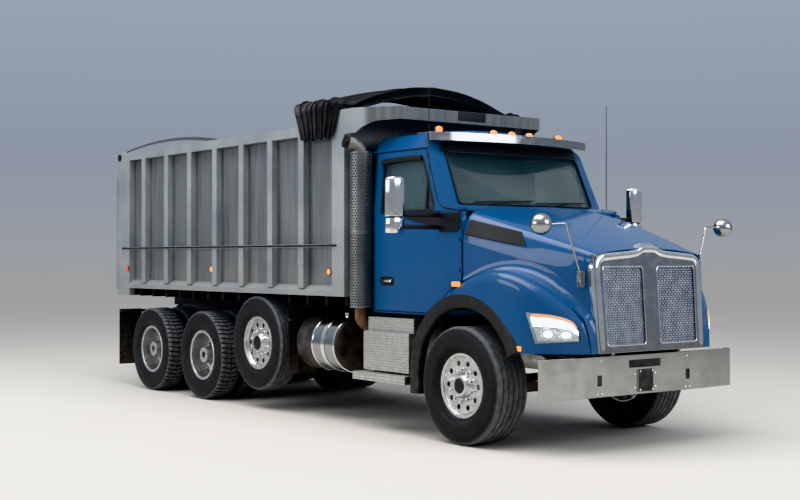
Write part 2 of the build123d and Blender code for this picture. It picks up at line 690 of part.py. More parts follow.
DOOR_DEEP = -900.0
REAR_WINDOW = ((-420.0, 420.0), (2150.0, 2560.0))
HINGE_Z = (1560.0, 1840.0)
HINGE_H = 30.0
HINGE_R = 7.0
DOOR_PIN_R = 4.0
COWL_CUT = ((997.0, 1905.0), (910.0, 2054.0), (0.0, 2121.0))
with BuildPart() as cab_shell:
    add(cab_hull(0))
    fillet(cab_shell.edges().filter_by(Axis.Z).sort_by(Axis.X)[:2], CAB_CORNER_R)
    add(cab_hull(CAB_WALL), mode=Mode.SUBTRACT)
    opening = grown(DOOR_OUTLINE, PART_GAP)
    for y in (CAB_HALF + 20, DOOR_DEEP):
        extrude(opening.moved(Location((0, y, 0))), amount=CAB_HALF + 20 + DOOR_DEEP, mode=Mode.SUBTRACT)
    block((CAB_BACK - 10, CAB_BACK + CAB_WALL + 10), REAR_WINDOW[0], REAR_WINDOW[1], Mode.SUBTRACT)
    front_shape(
        [
            (-SCREEN_HALF_LOW, SCREEN_LOW[1] + 15),
            (SCREEN_HALF_LOW, SCREEN_LOW[1] + 15),
            (SCREEN_HALF_TOP, SCREEN_TOP[1]),
            (-SCREEN_HALF_TOP, SCREEN_TOP[1]),
        ],
        (SCREEN_TOP[0] - 130, CAB_FRONT + 100),
        Mode.SUBTRACT,
    )
    for near, far in ((-CAB_HALF, -COWL_HALF), (COWL_HALF, CAB_HALF)):
        block((DOOR_FRONT - 40, CAB_FRONT), (near, far), (CAB_FLOOR, SCREEN_LOW[1]), Mode.SUBTRACT)
    front_shape(
        [
            (-1200, 1100),
            (-COWL_CUT[0][0], 1100),
            (-COWL_CUT[0][0], COWL_CUT[0][1]),
            (-COWL_CUT[1][0], COWL_CUT[1][1]),
            (0, COWL_CUT[2][1]),
            (COWL_CUT[1][0], COWL_CUT[1][1]),
            (COWL_CUT[0][0], COWL_CUT[0][1]),
            (COWL_CUT[0][0], 1100),
            (1200, 1100),
            (1200, 2400),
            (-1200, 2400),
        ],
        (HOOD_REAR - PART_GAP, CAB_FRONT),
        Mode.SUBTRACT,
    )
    across(ARCH_X, ARCH_Z, (-CAB_HALF - 10, -500), FLARE_R + 30, Mode.SUBTRACT)
    across(ARCH_X, ARCH_Z, (500, CAB_HALF + 10), FLARE_R + 30, Mode.SUBTRACT)
    # door hinges: an arm, a lower knuckle and the pin at the door's front edge
    for side in (-1, 1):
        for z in HINGE_Z:
            near, far = sorted((side * 955, side * 985))
            block((DOOR_FRONT - 15, DOOR_FRONT + 20), (near, far), (z, z + HINGE_H))
            near, far = sorted((side * 955, side * (CAB_HALF - 2)))
            block((DOOR_FRONT - 15, DOOR_FRONT + 2), (near, far), (z, z + HINGE_H))
            upright(DOOR_FRONT, side * CAB_HALF, (z, z + HINGE_H), HINGE_R)
            upright(DOOR_FRONT, side * CAB_HALF, (z, z + 2 * HINGE_H), DOOR_PIN_R)
keep(cab_shell, "cab_shell")

for name, side in (("door_left", 1), ("door_right", -1)):
    near, far = sorted((side * -DOOR_DEEP, side * (CAB_HALF + 20)))
    with BuildPart() as door:
        side_shape(DOOR_OUTLINE, (near, far))
        side_shape(WINDOW_OUTLINE, (near, far), Mode.SUBTRACT)
        add(cab_hull(0), mode=Mode.INTERSECT)
        add(cab_section(DOOR_T), mode=Mode.SUBTRACT)
        for z in HINGE_Z:
            block((DOOR_FRONT - 30, DOOR_FRONT + 5), (near, far), (z - 6, z + HINGE_H), Mode.SUBTRACT)
            upright(DOOR_FRONT, side * CAB_HALF, (z + HINGE_H, z + 2 * HINGE_H), HINGE_R)
            upright(DOOR_FRONT, side * CAB_HALF, (z + HINGE_H, z + 2 * HINGE_H), DOOR_PIN_R + 0.05, Mode.SUBTRACT)
    keep(door, name)
    with BuildPart() as pane:
        side_shape(WINDOW_OUTLINE, (near, far))
        add(cab_section(DOOR_T / 2 - GLASS_T), mode=Mode.INTERSECT)
        add(cab_section(DOOR_T / 2), mode=Mode.SUBTRACT)
    keep(pane, name.replace("door", "door_glass"))

with BuildPart() as cab_glass:
    front_shape(
        [
            (-SCREEN_HALF_LOW, SCREEN_LOW[1] + 15),
            (SCREEN_HALF_LOW, SCREEN_LOW[1] + 15),
            (SCREEN_HALF_TOP, SCREEN_TOP[1]),
            (-SCREEN_HALF_TOP, SCREEN_TOP[1]),
        ],
        (SCREEN_TOP[0] - 130, CAB_FRONT + 100),
    )
    add(cab_hull(GLASS_T), mode=Mode.INTERSECT)
    add(cab_hull(2 * GLASS_T), mode=Mode.SUBTRACT)
    block((CAB_BACK + 15, CAB_BACK + 15 + GLASS_T), REAR_WINDOW[0], REAR_WINDOW[1])
keep(cab_glass, "cab_glass")

CABIN_FLOOR = CAB_FLOOR + CAB_WALL
SEAT_Y = 490.0
WHEEL_X = AXLE_X - 790.0
WHEEL_Z = 1960.0
COLUMN_LEAN = -50.0
COLUMN_R = 28.0
COLUMN_L = 470.0
DASH_HALF = 920.0
DASH_BACK = AXLE_X - 560.0
with BuildPart() as dashboard:
    side_shape(
        [
            (CAB_FRONT - CAB_WALL, 1660),
            (CAB_FRONT - CAB_WALL, 2060),
            (DASH_BACK + 90, 2110),
            (DASH_BACK, 2080),
            (DASH_BACK + 40, 1840),
            (DASH_BACK + 150, 1660),
        ],
        (-DASH_HALF, DASH_HALF),
    )
    with Locations(Location((WHEEL_X, SEAT_Y, WHEEL_Z), (0, COLUMN_LEAN, 0))):
        Torus(215, 16)
        Box(420, 40, 14)
        Cylinder(50, 30)
        with Locations((0, 0, -COLUMN_L / 2)):
            Cylinder(COLUMN_R, COLUMN_L)
keep(dashboard, "dashboard")

SEAT_HALF = 250.0
SEAT_X = (AXLE_X - 1400.0, AXLE_X - 860.0)
with BuildPart() as seats:
    for side in (-1, 1):
        near, far = side * SEAT_Y - SEAT_HALF, side * SEAT_Y + SEAT_HALF
        block((SEAT_X[0] + 60, SEAT_X[1] - 60), (near + 50, far - 50), (CABIN_FLOOR, 1520))
        side_shape(
            [
                (SEAT_X[0] + 30, 1520),
                (SEAT_X[1], 1520),
                (SEAT_X[1], 1640),
                (SEAT_X[0] + 130, 1620),
                (SEAT_X[0] + 90, 2200),
                (SEAT_X[0] + 60, 2420),
                (SEAT_X[0] - 20, 2420),
                (SEAT_X[0] - 30, 2200),
            ],
            (near, far),
        )
keep(seats, "seats")

# Visor: a curved lip ahead of the screen's top, with a cover back to the roof
VISOR_TIP = (AXLE_X - 631.0, 1040.0)
VISOR_MID_X = AXLE_X - 430.0
VISOR_Z = (2798.0, 2880.0)
VISOR_T = 10.0
with BuildPart() as roof_visor:
    for low, end, middle in ((VISOR_Z[0], VISOR_T, VISOR_T), (VISOR_Z[1] - VISOR_T, 200.0, 430.0)):
        with BuildSketch(Plane.XY.offset(low)) as visor:
            with BuildLine():
                ThreePointArc((VISOR_TIP[0], -VISOR_TIP[1]), (VISOR_MID_X, 0), VISOR_TIP)
                Line(VISOR_TIP, (VISOR_TIP[0] - end, VISOR_TIP[1]))
                ThreePointArc(
                    (VISOR_TIP[0] - end, VISOR_TIP[1]),
                    (VISOR_MID_X - middle, 0),
                    (VISOR_TIP[0] - end, -VISOR_TIP[1]),
                )
                Line((VISOR_TIP[0] - end, -VISOR_TIP[1]), (VISOR_TIP[0], -VISOR_TIP[1]))
            make_face()
        extrude(visor.sketch, amount=VISOR_Z[1] - low)
    add(cab_hull(0), mode=Mode.SUBTRACT)
keep(roof_visor, "roof_visor")

ROOF_LAMPS = (
    # X from the front axle, Y, Z
    (-800.0, 802.0, 2925.0),
    (-800.0, -802.0, 2925.0),
    (-640.0, 240.0, 2905.0),
    (-640.0, 0.0, 2905.0),
    (-640.0, -240.0, 2905.0),
)
with BuildPart() as roof_lamps:
    for back, y, z in ROOF_LAMPS:
        with Locations(Location((AXLE_X + back, y, z), (0, 90, 0))):
            Cylinder(36, 110)
    add(cab_hull(0), mode=Mode.SUBTRACT)
    add(roof_visor.part, mode=Mode.SUBTRACT)
keep(roof_lamps, "roof_lamps")


# Hood: a tapering core and two arched fenders, one skin all over

HOOD_SECTIONS = (
    # X, half width low, half width at the shoulder, shoulder Z, crown Z, foot Z
    (HOOD_REAR, 1040.0, 955.0, 2105.0, 2172.0, 1200.0),
    (AXLE_X + 480.0, 900.0, 842.0, 1925.0, 1990.0, 1000.0),
    (AXLE_X + 1158.0, 676.0, 690.0, 1712.0, 1768.0, 872.0),
)


def hood_core(inset):
    """Hood between the fenders, drawn in from the outer skin by the inset."""
    with BuildPart() as core:
        for x, low, shoulder, shoulder_z, crown, foot in HOOD_SECTIONS:
            deep = foot - (inset * 4 if inset > 0 else 0)
            with BuildSketch(Plane.YZ.offset(x)):
                with BuildLine():
                    Polyline(
                        (-shoulder + inset, shoulder_z - inset),
                        (-low + inset, shoulder_z - 190),
                        (-low + inset, deep),
                        (low - inset, deep),
                        (low - inset, shoulder_z - 190),
                        (shoulder - inset, shoulder_z - inset),
                    )
                    ThreePointArc(
                        (shoulder - inset, shoulder_z - inset),
                        (0, crown - inset),
                        (-shoulder + inset, shoulder_z - inset),
                    )
                make_face()
        loft()
    return core.part


FENDER_SWEEP = ((AXLE_X + 500.0, FENDER_HALF), (AXLE_X + 880.0, 1105.0), (AXLE_X + 1120.0, 810.0))
FENDER_CREST = (AXLE_X + 376.0, 1592.0)
FENDER_FOOT = 868.0
FENDER_NOSE = AXLE_X + 1195.0
SEAM_Y = CAB_HALF + PART_GAP


def fender(inset):
    """Left fender, drawn in by the inset and open below and inside where it is drawn in."""
    with BuildSketch(Plane.XZ) as profile:
        with BuildLine():
            Polyline(
                (AXLE_X - 560, 1070),
                (AXLE_X - 560, FENDER_FOOT),
                (FENDER_NOSE, FENDER_FOOT),
                (FENDER_NOSE - 8, 980),
                (AXLE_X + 1120, 1150),
            )
            ThreePointArc((AXLE_X + 1120, 1150), (AXLE_X + 800, 1475), FENDER_CREST)
            ThreePointArc(FENDER_CREST, (AXLE_X - 90, 1465), (AXLE_X - 560, 1070))
        make_face()
        if inset:
            offset(amount=-inset, kind=Kind.INTERSECTION)
    with BuildSketch(Plane.XY.offset(FENDER_FOOT)) as plan:
        with BuildLine():
            Polyline(
                (AXLE_X + 1120, 810),
                (FENDER_NOSE, 690),
                (FENDER_NOSE, 674),
                (AXLE_X + 1158, 674),
                (AXLE_X + 1100, 600),
                (HOOD_REAR, 600),
                (HOOD_REAR, SEAM_Y),
                (AXLE_X - 760, SEAM_Y),
                (AXLE_X - 760, FENDER_HALF),
                (AXLE_X + 500, FENDER_HALF),
            )
            ThreePointArc(*FENDER_SWEEP)
        make_face()
        if inset:
            offset(amount=-inset, kind=Kind.INTERSECTION)
            with BuildLine():
                Polyline(
                    (HOOD_REAR - 60, 480),
                    (AXLE_X + 1095, 480),
                    (AXLE_X + 1095, 640),
                    (AXLE_X + 1040, 800),
                    (AXLE_X + 880, SEAM_Y - 43),
                    (HOOD_REAR - 60, SEAM_Y - 43),
                    close=True,
                )
            make_face()
    with BuildPart() as body:
        extrude(profile.sketch, amount=-1300)
        extrude(plan.sketch, amount=900, mode=Mode.INTERSECT)
    return body.part


LAMP_OUTLINE = [
    (AXLE_X + 785, 1222),
    (AXLE_X + 1005, 1200),
    (AXLE_X + 1092, 1142),
    (AXLE_X + 1112, 975),
    (AXLE_X + 857, 955),
]
VENT_OUTLINE = [
    (AXLE_X - 110, 2030),
    (AXLE_X + 440, 1915),
    (AXLE_X + 520, 1775),
    (AXLE_X - 130, 1890),
]
LAMP_T = 60.0
VENT_T = 27.0
with BuildPart() as hood_skin:
    add(hood_core(0))
    outer = fender(0)
    add(outer)
    add(outer.mirror(Plane.XZ))
    add(hood_core(HOOD_WALL), mode=Mode.SUBTRACT)
    inner = fender(HOOD_WALL)
    add(inner, mode=Mode.SUBTRACT)
    add(inner.mirror(Plane.XZ), mode=Mode.SUBTRACT)
    for near, far in ((-1300, -540), (540, 1300)):
        across(ARCH_X, ARCH_Z, (near, far), ARCH_R, Mode.SUBTRACT)
        near, far = (near, -700) if near < 0 else (700, far)
        side_shape(LAMP_OUTLINE, (near, far), Mode.SUBTRACT)
        side_shape(VENT_OUTLINE, (near, far), Mode.SUBTRACT)

# The fenders' tails beside the cab are bolted on at the hood's rear edge
with BuildPart() as hood_shell:
    add(hood_skin.part)
    block(
        (HOOD_REAR - RUN_GAP, HOOD_REAR),
        (-FENDER_HALF - PART_GAP, FENDER_HALF + PART_GAP),
        (FENDER_FOOT - PART_GAP, FENDER_CREST[1] + PART_GAP),
        Mode.SUBTRACT,
    )
keep(hood_shell, "hood_shell")

with BuildPart() as headlamps:
    for near, far in ((-1300, -700), (700, 1300)):
        side_shape(LAMP_OUTLINE, (near, far))
    shell = fender(0) - fender(LAMP_T)
    add(shell + shell.mirror(Plane.XZ), mode=Mode.INTERSECT)
keep(headlamps, "headlamps")

# Hood trim: a mesh panel on each shoulder, and a band round each arch with a straight tail behind the wheel
FLARE_IN = 1075.0
FLARE_TAIL_T = 50.0
with BuildPart() as arch_flares:
    for near, far in ((-FLARE_Y, -FLARE_IN), (FLARE_IN, FLARE_Y)):
        across(ARCH_X, ARCH_Z, (near, far), FLARE_R)
        side_shape(
            [
                (ARCH_X - FLARE_R, ARCH_Z),
                (ARCH_X - FLARE_R + 12, FLARE_TAIL),
                (ARCH_X - FLARE_R + 12 + FLARE_TAIL_T, FLARE_TAIL),
                (ARCH_X - ARCH_R, ARCH_Z),
            ],
            (near, far),
        )
        across(ARCH_X, ARCH_Z, (near, far), ARCH_R, Mode.SUBTRACT)
        block((ARCH_X - ARCH_R + 12, ARCH_X + FLARE_R), (near, far), (-200, FENDER_FOOT - 10), Mode.SUBTRACT)
        block((ARCH_X - FLARE_R, ARCH_X), (near, far), (-200, FLARE_TAIL), Mode.SUBTRACT)
    add(hood_skin.part, mode=Mode.SUBTRACT)
with BuildPart() as hood_trim:
    for near, far in ((-1300, -700), (700, 1300)):
        side_shape(VENT_OUTLINE, (near, far))
    add(hood_core(4), mode=Mode.INTERSECT)
    add(hood_core(VENT_T), mode=Mode.SUBTRACT)
    add(arch_flares.part)
keep(hood_trim, "hood_trim")

# Grille surround: a leaning frame with a peak over its centre bar
GRILLE_FOOT = (AXLE_X + FRONT_REACH, 868.0)
GRILLE_TOP = (AXLE_X + FRONT_REACH - 60.0, 1715.0)
GRILLE_PEAK = 1800.0
GRILLE_BACK = AXLE_X + 1120.0
MESH_HALF = (595.0, 580.0)
MESH_Z = (930.0, 1608.0)
BAR_HALF = 92.0
MESH_T = 12.0
MESH_BACK = 30.0
MESH_PITCH = 56.0
MESH_STRAND = 9.0
MESH_RIM = 12.0
lean = (GRILLE_TOP[0] - GRILLE_FOOT[0]) / (GRILLE_TOP[1] - GRILLE_FOOT[1])


def grille_x(z, back=0.0):
    """X of the grille's leaning face at a height, set back by a distance."""
    return GRILLE_FOOT[0] + lean * (z - GRILLE_FOOT[1]) - back


def grille_slab(front, back):
    """Upright slab between two depths behind the leaning face."""
    with BuildPart() as slab:
        side_shape(
            [
                (grille_x(860, front), 860),
                (grille_x(1850, front), 1850),
                (grille_x(1850, back), 1850),
                (grille_x(860, back), 860),
            ],
            (-720, 720),
        )
    return slab.part


with BuildPart() as grille_surround:
    front_shape(
        [
            (-674, GRILLE_FOOT[1]),
            (674, GRILLE_FOOT[1]),
            (698, GRILLE_TOP[1]),
            (170, GRILLE_TOP[1] + 40),
            (100, GRILLE_PEAK),
            (-100, GRILLE_PEAK),
            (-170, GRILLE_TOP[1] + 40),
            (-698, GRILLE_TOP[1]),
        ],
        (GRILLE_BACK - 20, GRILLE_FOOT[0] + 5),
    )
    add(grille_slab(0, 65), mode=Mode.INTERSECT)
    for side in (-1, 1):
        front_shape(
            [
                (side * BAR_HALF, MESH_Z[0]),
                (side * MESH_HALF[1], MESH_Z[0]),
                (side * MESH_HALF[0], MESH_Z[1]),
                (side * BAR_HALF, MESH_Z[1]),
            ],
            (GRILLE_BACK - 40, GRILLE_FOOT[0] + 10),
            Mode.SUBTRACT,
        )
    # eyes on the chassis pins
    for side in (-1, 1):
        near, far = sorted((side * (RAIL_IN + 5.5), side * (RAIL_IN + 5.5 + BRACKET_T)))
        across(HOOD_TILT_X, HOOD_TILT_Z, (near, far), HINGE_ARM_R)
        block((HOOD_TILT_X - HINGE_ARM_R, HOOD_TILT_X + HINGE_ARM_R), (near, far), (HOOD_TILT_Z, MESH_Z[0] - 4))
        block((HOOD_TILT_X - 10, GRILLE_FOOT[0] - 30), (near, far), (HOOD_TILT_Z + 12, MESH_Z[0] - 4))
        across(HOOD_TILT_X, HOOD_TILT_Z, (near, far), HINGE_PIN_R + RUN_GAP, Mode.SUBTRACT)
    add(hood_shell.part, mode=Mode.SUBTRACT)
keep(grille_surround, "grille_surround")

# Expanded mesh: staggered diamond holes that leave crossing strands inside a plain rim
MESH_HOLE = MESH_PITCH / sqrt(2) - MESH_STRAND
hole_reach = MESH_HOLE / sqrt(2) + MESH_RIM
mesh_columns = int((MESH_HALF[1] - BAR_HALF - 2 * hole_reach) / (MESH_PITCH / 2)) + 1
mesh_rows = int((MESH_Z[1] - MESH_Z[0] - 2 * hole_reach) / (MESH_PITCH / 2)) + 1
mesh_middle = ((BAR_HALF + MESH_HALF[1]) / 2, (MESH_Z[0] + MESH_Z[1]) / 2)
with BuildPart() as grille_mesh:
    for side in (-1, 1):
        holes = [
            (
                side * (mesh_middle[0] + (column - (mesh_columns - 1) / 2) * MESH_PITCH / 2),
                mesh_middle[1] + (row - (mesh_rows - 1) / 2) * MESH_PITCH / 2,
            )
            for column in range(mesh_columns)
            for row in range(mesh_rows)
            if (column + row) % 2 == 0
        ]
        with BuildSketch(Plane.YZ.offset(GRILLE_BACK - 40)) as panel:
            with BuildLine():
                Polyline(
                    (side * BAR_HALF, MESH_Z[0]),
                    (side * MESH_HALF[1], MESH_Z[0]),
                    (side * MESH_HALF[0], MESH_Z[1]),
                    (side * BAR_HALF, MESH_Z[1]),
                    close=True,
                )
            make_face()
            with Locations(*holes):
                Rectangle(MESH_HOLE, MESH_HOLE, rotation=45, mode=Mode.SUBTRACT)
        extrude(panel.sketch, amount=GRILLE_FOOT[0] - GRILLE_BACK + 50)
    add(grille_slab(MESH_BACK, MESH_BACK + MESH_T), mode=Mode.INTERSECT)
keep(grille_mesh, "grille_mesh")

MIRROR_BALL = (AXLE_X + 1023.0, 1186.0, 1966.0)
BALL_R = 92.0
ARM_FOOT = (AXLE_X + 1058.0, 752.0, 1500.0)
with BuildPart() as hood_mirrors:
    for side in (-1, 1):
        x, y, z = MIRROR_BALL
        with Locations((x, side * y, z)):
            Sphere(BALL_R)
        with BuildLine() as arm:
            FilletPolyline(
                (x, side * (y - BALL_R + 6), z),
                (x + 20, side * (ARM_FOOT[1] + 160), z + 10),
                (ARM_FOOT[0], side * (ARM_FOOT[1] + 12), ARM_FOOT[2] + 60),
                (ARM_FOOT[0], side * (ARM_FOOT[1] + 12), ARM_FOOT[2] - 40),
                radius=45,
            )
        with BuildSketch(Plane(origin=arm.line @ 0, z_dir=arm.line % 0)) as ring:
            Circle(9)
        sweep(ring.sketch, path=arm.line)
        foot_near, foot_far = sorted((side * (ARM_FOOT[1] - 60), side * (ARM_FOOT[1] + 24)))
        block((ARM_FOOT[0] - 26, ARM_FOOT[0] + 26), (foot_near, foot_far), (ARM_FOOT[2] - 70, ARM_FOOT[2] + 70))
    add(hood_core(0), mode=Mode.SUBTRACT)
keep(hood_mirrors, "hood_mirrors")

# Door mirrors: a plate on each door, two bars from its rear end, a tall head, and an aerial on the upper bar
MIRROR_PLATE = ((AXLE_X - 480.0, AXLE_X - 178.0), (1922.0, 2106.0))
PLATE_CORNER = 37.0
PLATE_FACE = CAB_HALF + FLAP_T
MIRROR_HEAD = ((AXLE_X - 480.0, AXLE_X - 390.0), (1495.0, 1690.0), (1904.0, 2417.0))
MIRROR_BAR_X = (MIRROR_PLATE[0][0], MIRROR_PLATE[0][0] + 23.0)
MIRROR_BARS = ((1945.0, 1990.0), (2060.0, 2106.0))
AERIAL_FOOT = (sum(MIRROR_BAR_X) / 2, 1184.0)
AERIAL_TOP = 3269.0
for name, side in (("door_mirror_left", 1), ("door_mirror_right", -1)):
    with BuildPart() as door_mirror:
        head_x, head_y, head_z = MIRROR_HEAD
        near, far = sorted((side * head_y[0], side * head_y[1]))
        block(head_x, (near, far), head_z)
        fillet(door_mirror.edges().filter_by(Axis.Z), 20)
        fillet(door_mirror.faces().sort_by(Axis.Z)[-1].edges(), 15)
        (plate_rear, plate_front), (plate_low, plate_top) = MIRROR_PLATE
        side_shape(
            [
                (plate_rear, plate_low),
                (plate_front - PLATE_CORNER, plate_low),
                (plate_front, plate_low + PLATE_CORNER),
                (plate_front, plate_top),
                (plate_rear, plate_top),
            ],
            tuple(sorted((side * CAB_HALF, side * PLATE_FACE))),
        )
        near, far = sorted((side * (PLATE_FACE + RUN_GAP), side * (head_y[0] - RUN_GAP)))
        for bar_z in MIRROR_BARS:
            block(MIRROR_BAR_X, (near, far), bar_z)
        bar_top = MIRROR_BARS[1][1]
        upright(AERIAL_FOOT[0], side * AERIAL_FOOT[1], (bar_top + RUN_GAP, bar_top + 40), 11)
        upright(AERIAL_FOOT[0], side * AERIAL_FOOT[1], (bar_top + 30, AERIAL_TOP), 5)
    keep(door_mirror, name)


# Dump bed

FLOOR_TOP = FLOOR_BOTTOM + FLOOR_T
FLOOR_SEAT = FLOOR_BOTTOM - RUN_GAP
FRONT_WALL_T = 60.0
FLOOR_FRONT = BED_FRONT - FRONT_WALL_T - RUN_GAP
SILL_Y = (RAIL_OUT - RAIL_FLANGE, RAIL_OUT)
BEARERS = 15
BEARER = (50.0, 100.0)
with BuildPart() as bed_floor:
    block((BED_REAR, FLOOR_FRONT), (-SIDE_IN, SIDE_IN), (FLOOR_BOTTOM, FLOOR_TOP))
    pitch = (BED_FRONT - BED_REAR - 200) / (BEARERS - 1)
    for index in range(BEARERS):
        x = BED_REAR + 100 + index * pitch
        span = (x - BEARER[0] / 2, x + BEARER[0] / 2)
        bearer_z = (FLOOR_BOTTOM - BEARER[1], FLOOR_SEAT)
        if not HOIST_X - 150 < x < HOIST_HEAD_X + 200:
            block(span, (RUN_GAP - SILL_Y[0], SILL_Y[0] - RUN_GAP), bearer_z)
        if abs(x - PUSHER_X) > 310:
            block(span, (-SIDE_IN, -SILL_Y[1] - RUN_GAP), bearer_z)
            block(span, (SILL_Y[1] + RUN_GAP, SIDE_IN), bearer_z)
    for side in (-1, 1):
        near, far = sorted((side * SILL_Y[0], side * SILL_Y[1]))
        block((TIP_X - 70, BED_FRONT - 20), (near, far), (SILL_BOTTOM, FLOOR_SEAT))
        near, far = sorted((side * TIP_EAR_Y[0], side * TIP_EAR_Y[1]))
        block((TIP_X - TIP_EAR_R, TIP_X + TIP_EAR_R), (near, far), (TIP_Z, SILL_BOTTOM))
        across(TIP_X, TIP_Z, (near, far), TIP_EAR_R)
        across(TIP_X, TIP_Z, (near, far), TIP_PIN_R + RUN_GAP, Mode.SUBTRACT)
        near, far = sorted((side * HOIST_EAR_Y[0], side * HOIST_EAR_Y[1]))
        block((HOIST_HEAD_X - 140, HOIST_HEAD_X + 140), (near, far), (HOIST_HEAD_Z - 70, FLOOR_SEAT))
keep(bed_floor, "bed_floor")

POST_IN = BED_HALF - POST_DEPTH
REAR_POST_BOTTOM = 1195.0
GATE_EAR_Y = (BED_HALF - 60.0, BED_HALF - 30.0)
GATE_PIN_R = 14.0
for name, side in (("bed_side_left", 1), ("bed_side_right", -1)):
    with BuildPart() as bed_side:
        near, far = sorted((side * SIDE_IN, side * POST_IN))
        block((BED_REAR, BED_FRONT), (near, far), (FLOOR_BOTTOM, BED_TOP))
        near, far = sorted((side * POST_IN, side * BED_HALF))
        for x in POST_X:
            block((x - POST_W / 2, x + POST_W / 2), (near, far), (SHELF_Z - 40, TOP_RAIL_Z + 10))
        block((BED_REAR, REAR_POST_FRONT), (near, far), (FLOOR_BOTTOM, BED_TOP))
        block((BED_REAR, REAR_POST_FRONT), (near, far), (REAR_POST_BOTTOM, FLOOR_SEAT))
        block((FRONT_POST_REAR, BED_FRONT), (near, far), (FLOOR_BOTTOM, BED_TOP))
        block((REAR_POST_FRONT, FRONT_POST_REAR), (near, far), (TOP_RAIL_Z, BED_TOP))
        front_shape(
            [
                (side * POST_IN, FLOOR_BOTTOM),
                (side * BED_HALF, FLOOR_BOTTOM),
                (side * BED_HALF, SHELF_Z - 60),
                (side * POST_IN, SHELF_Z),
            ],
            (REAR_POST_FRONT, FRONT_POST_REAR),
        )
        near, far = sorted((side * (BED_HALF - 10), side * (BED_HALF + 12)))
        block((REAR_POST_FRONT - 100, FRONT_POST_REAR + 20), (near, far), RUB_Z)
        near, far = sorted((side * (GATE_EAR_Y[1] + 5), side * (GATE_EAR_Y[1] + 25)))
        block((GATE_HINGE_X - 25, BED_REAR), (near, far), (GATE_HINGE_Z - 25, GATE_HINGE_Z + 40))
        near, far = sorted((side * GATE_EAR_Y[0], side * (GATE_EAR_Y[1] + 25)))
        across(GATE_HINGE_X, GATE_HINGE_Z, (near, far), GATE_PIN_R)
    keep(bed_side, name)

# Front wall with the cab shield: a box along the top whose sides run in to a lip over the cab
SHIELD_LIP_X = AXLE_X - 1221.0
SHIELD_HALF = 947.0
SHIELD_TOP = 3185.0
SHIELD_T = 12.0
SHIELD_FACE = BED_FRONT + 30.0
SHIELD_SIDE = [
    # X, Z of the underside, from the bed to the lip
    (FRONT_POST_REAR - 10, BED_TOP),
    (BED_FRONT, BED_TOP),
    (BED_FRONT, 2932.0),
    (AXLE_X - 1620.0, 2932.0),
    (AXLE_X - 1560.0, 2990.0),
    (AXLE_X - 1440.0, 3045.0),
    (SHIELD_LIP_X + 10, 3058.0),
    (SHIELD_LIP_X + 10, 2800.0),
    (FRONT_POST_REAR - 10, 2800.0),
]
SHIELD_PLAN = (
    # X, half width
    (FRONT_POST_REAR, BED_HALF),
    (AXLE_X - 1640.0, BED_HALF),
    (SHIELD_LIP_X, SHIELD_HALF),
)


def shield_plan(inset, z):
    """Plan of the cab shield, drawn in at its front and sides, between two heights."""
    rear = FRONT_POST_REAR - (10 if inset else 0)
    (_, half), (corner, _), (lip, lip_half) = SHIELD_PLAN
    plan = [
        (rear, -half + inset),
        (corner, -half + inset),
        (lip - inset, -lip_half + inset),
        (lip - inset, lip_half - inset),
        (corner, half - inset),
        (rear, half - inset),
    ]
    with BuildPart() as body:
        plan_shape(plan, z)
    return body.part


with BuildPart() as bed_front:
    add(shield_plan(0, (2900, SHIELD_TOP)))
    add(shield_plan(SHIELD_T, (2880, SHIELD_TOP - SHIELD_T)), mode=Mode.SUBTRACT)
    side_shape(SHIELD_SIDE, (-BED_HALF - 10, BED_HALF + 10), Mode.SUBTRACT)
    block((BED_FRONT - FRONT_WALL_T, BED_FRONT), (-SIDE_IN, SIDE_IN), (FLOOR_BOTTOM, SHIELD_TOP - SHIELD_T))
keep(bed_front, "bed_front")

# Side and tail lamps of the bed
BED_LAMPS = (
    # X, Z, |Y| of the seat
    (AXLE_X - 6736.0, 1546.0, BED_HALF),
    (AXLE_X - 4641.0, 1549.0, POST_IN),
    (AXLE_X - 2171.0, 1539.0, POST_IN),
)
LAMP_R = 34.0
TAIL_LAMP_Y = (POST_IN + BED_HALF) / 2
with BuildPart() as bed_lamps:
    for side in (-1, 1):
        for x, z, seat in BED_LAMPS:
            near, far = sorted((side * seat, side * (seat + 22)))
            across(x, z, (near, far), LAMP_R)
        along(side * TAIL_LAMP_Y, REAR_POST_BOTTOM + 28, (BED_REAR - 18, BED_REAR), 24)
keep(bed_lamps, "bed_lamps")

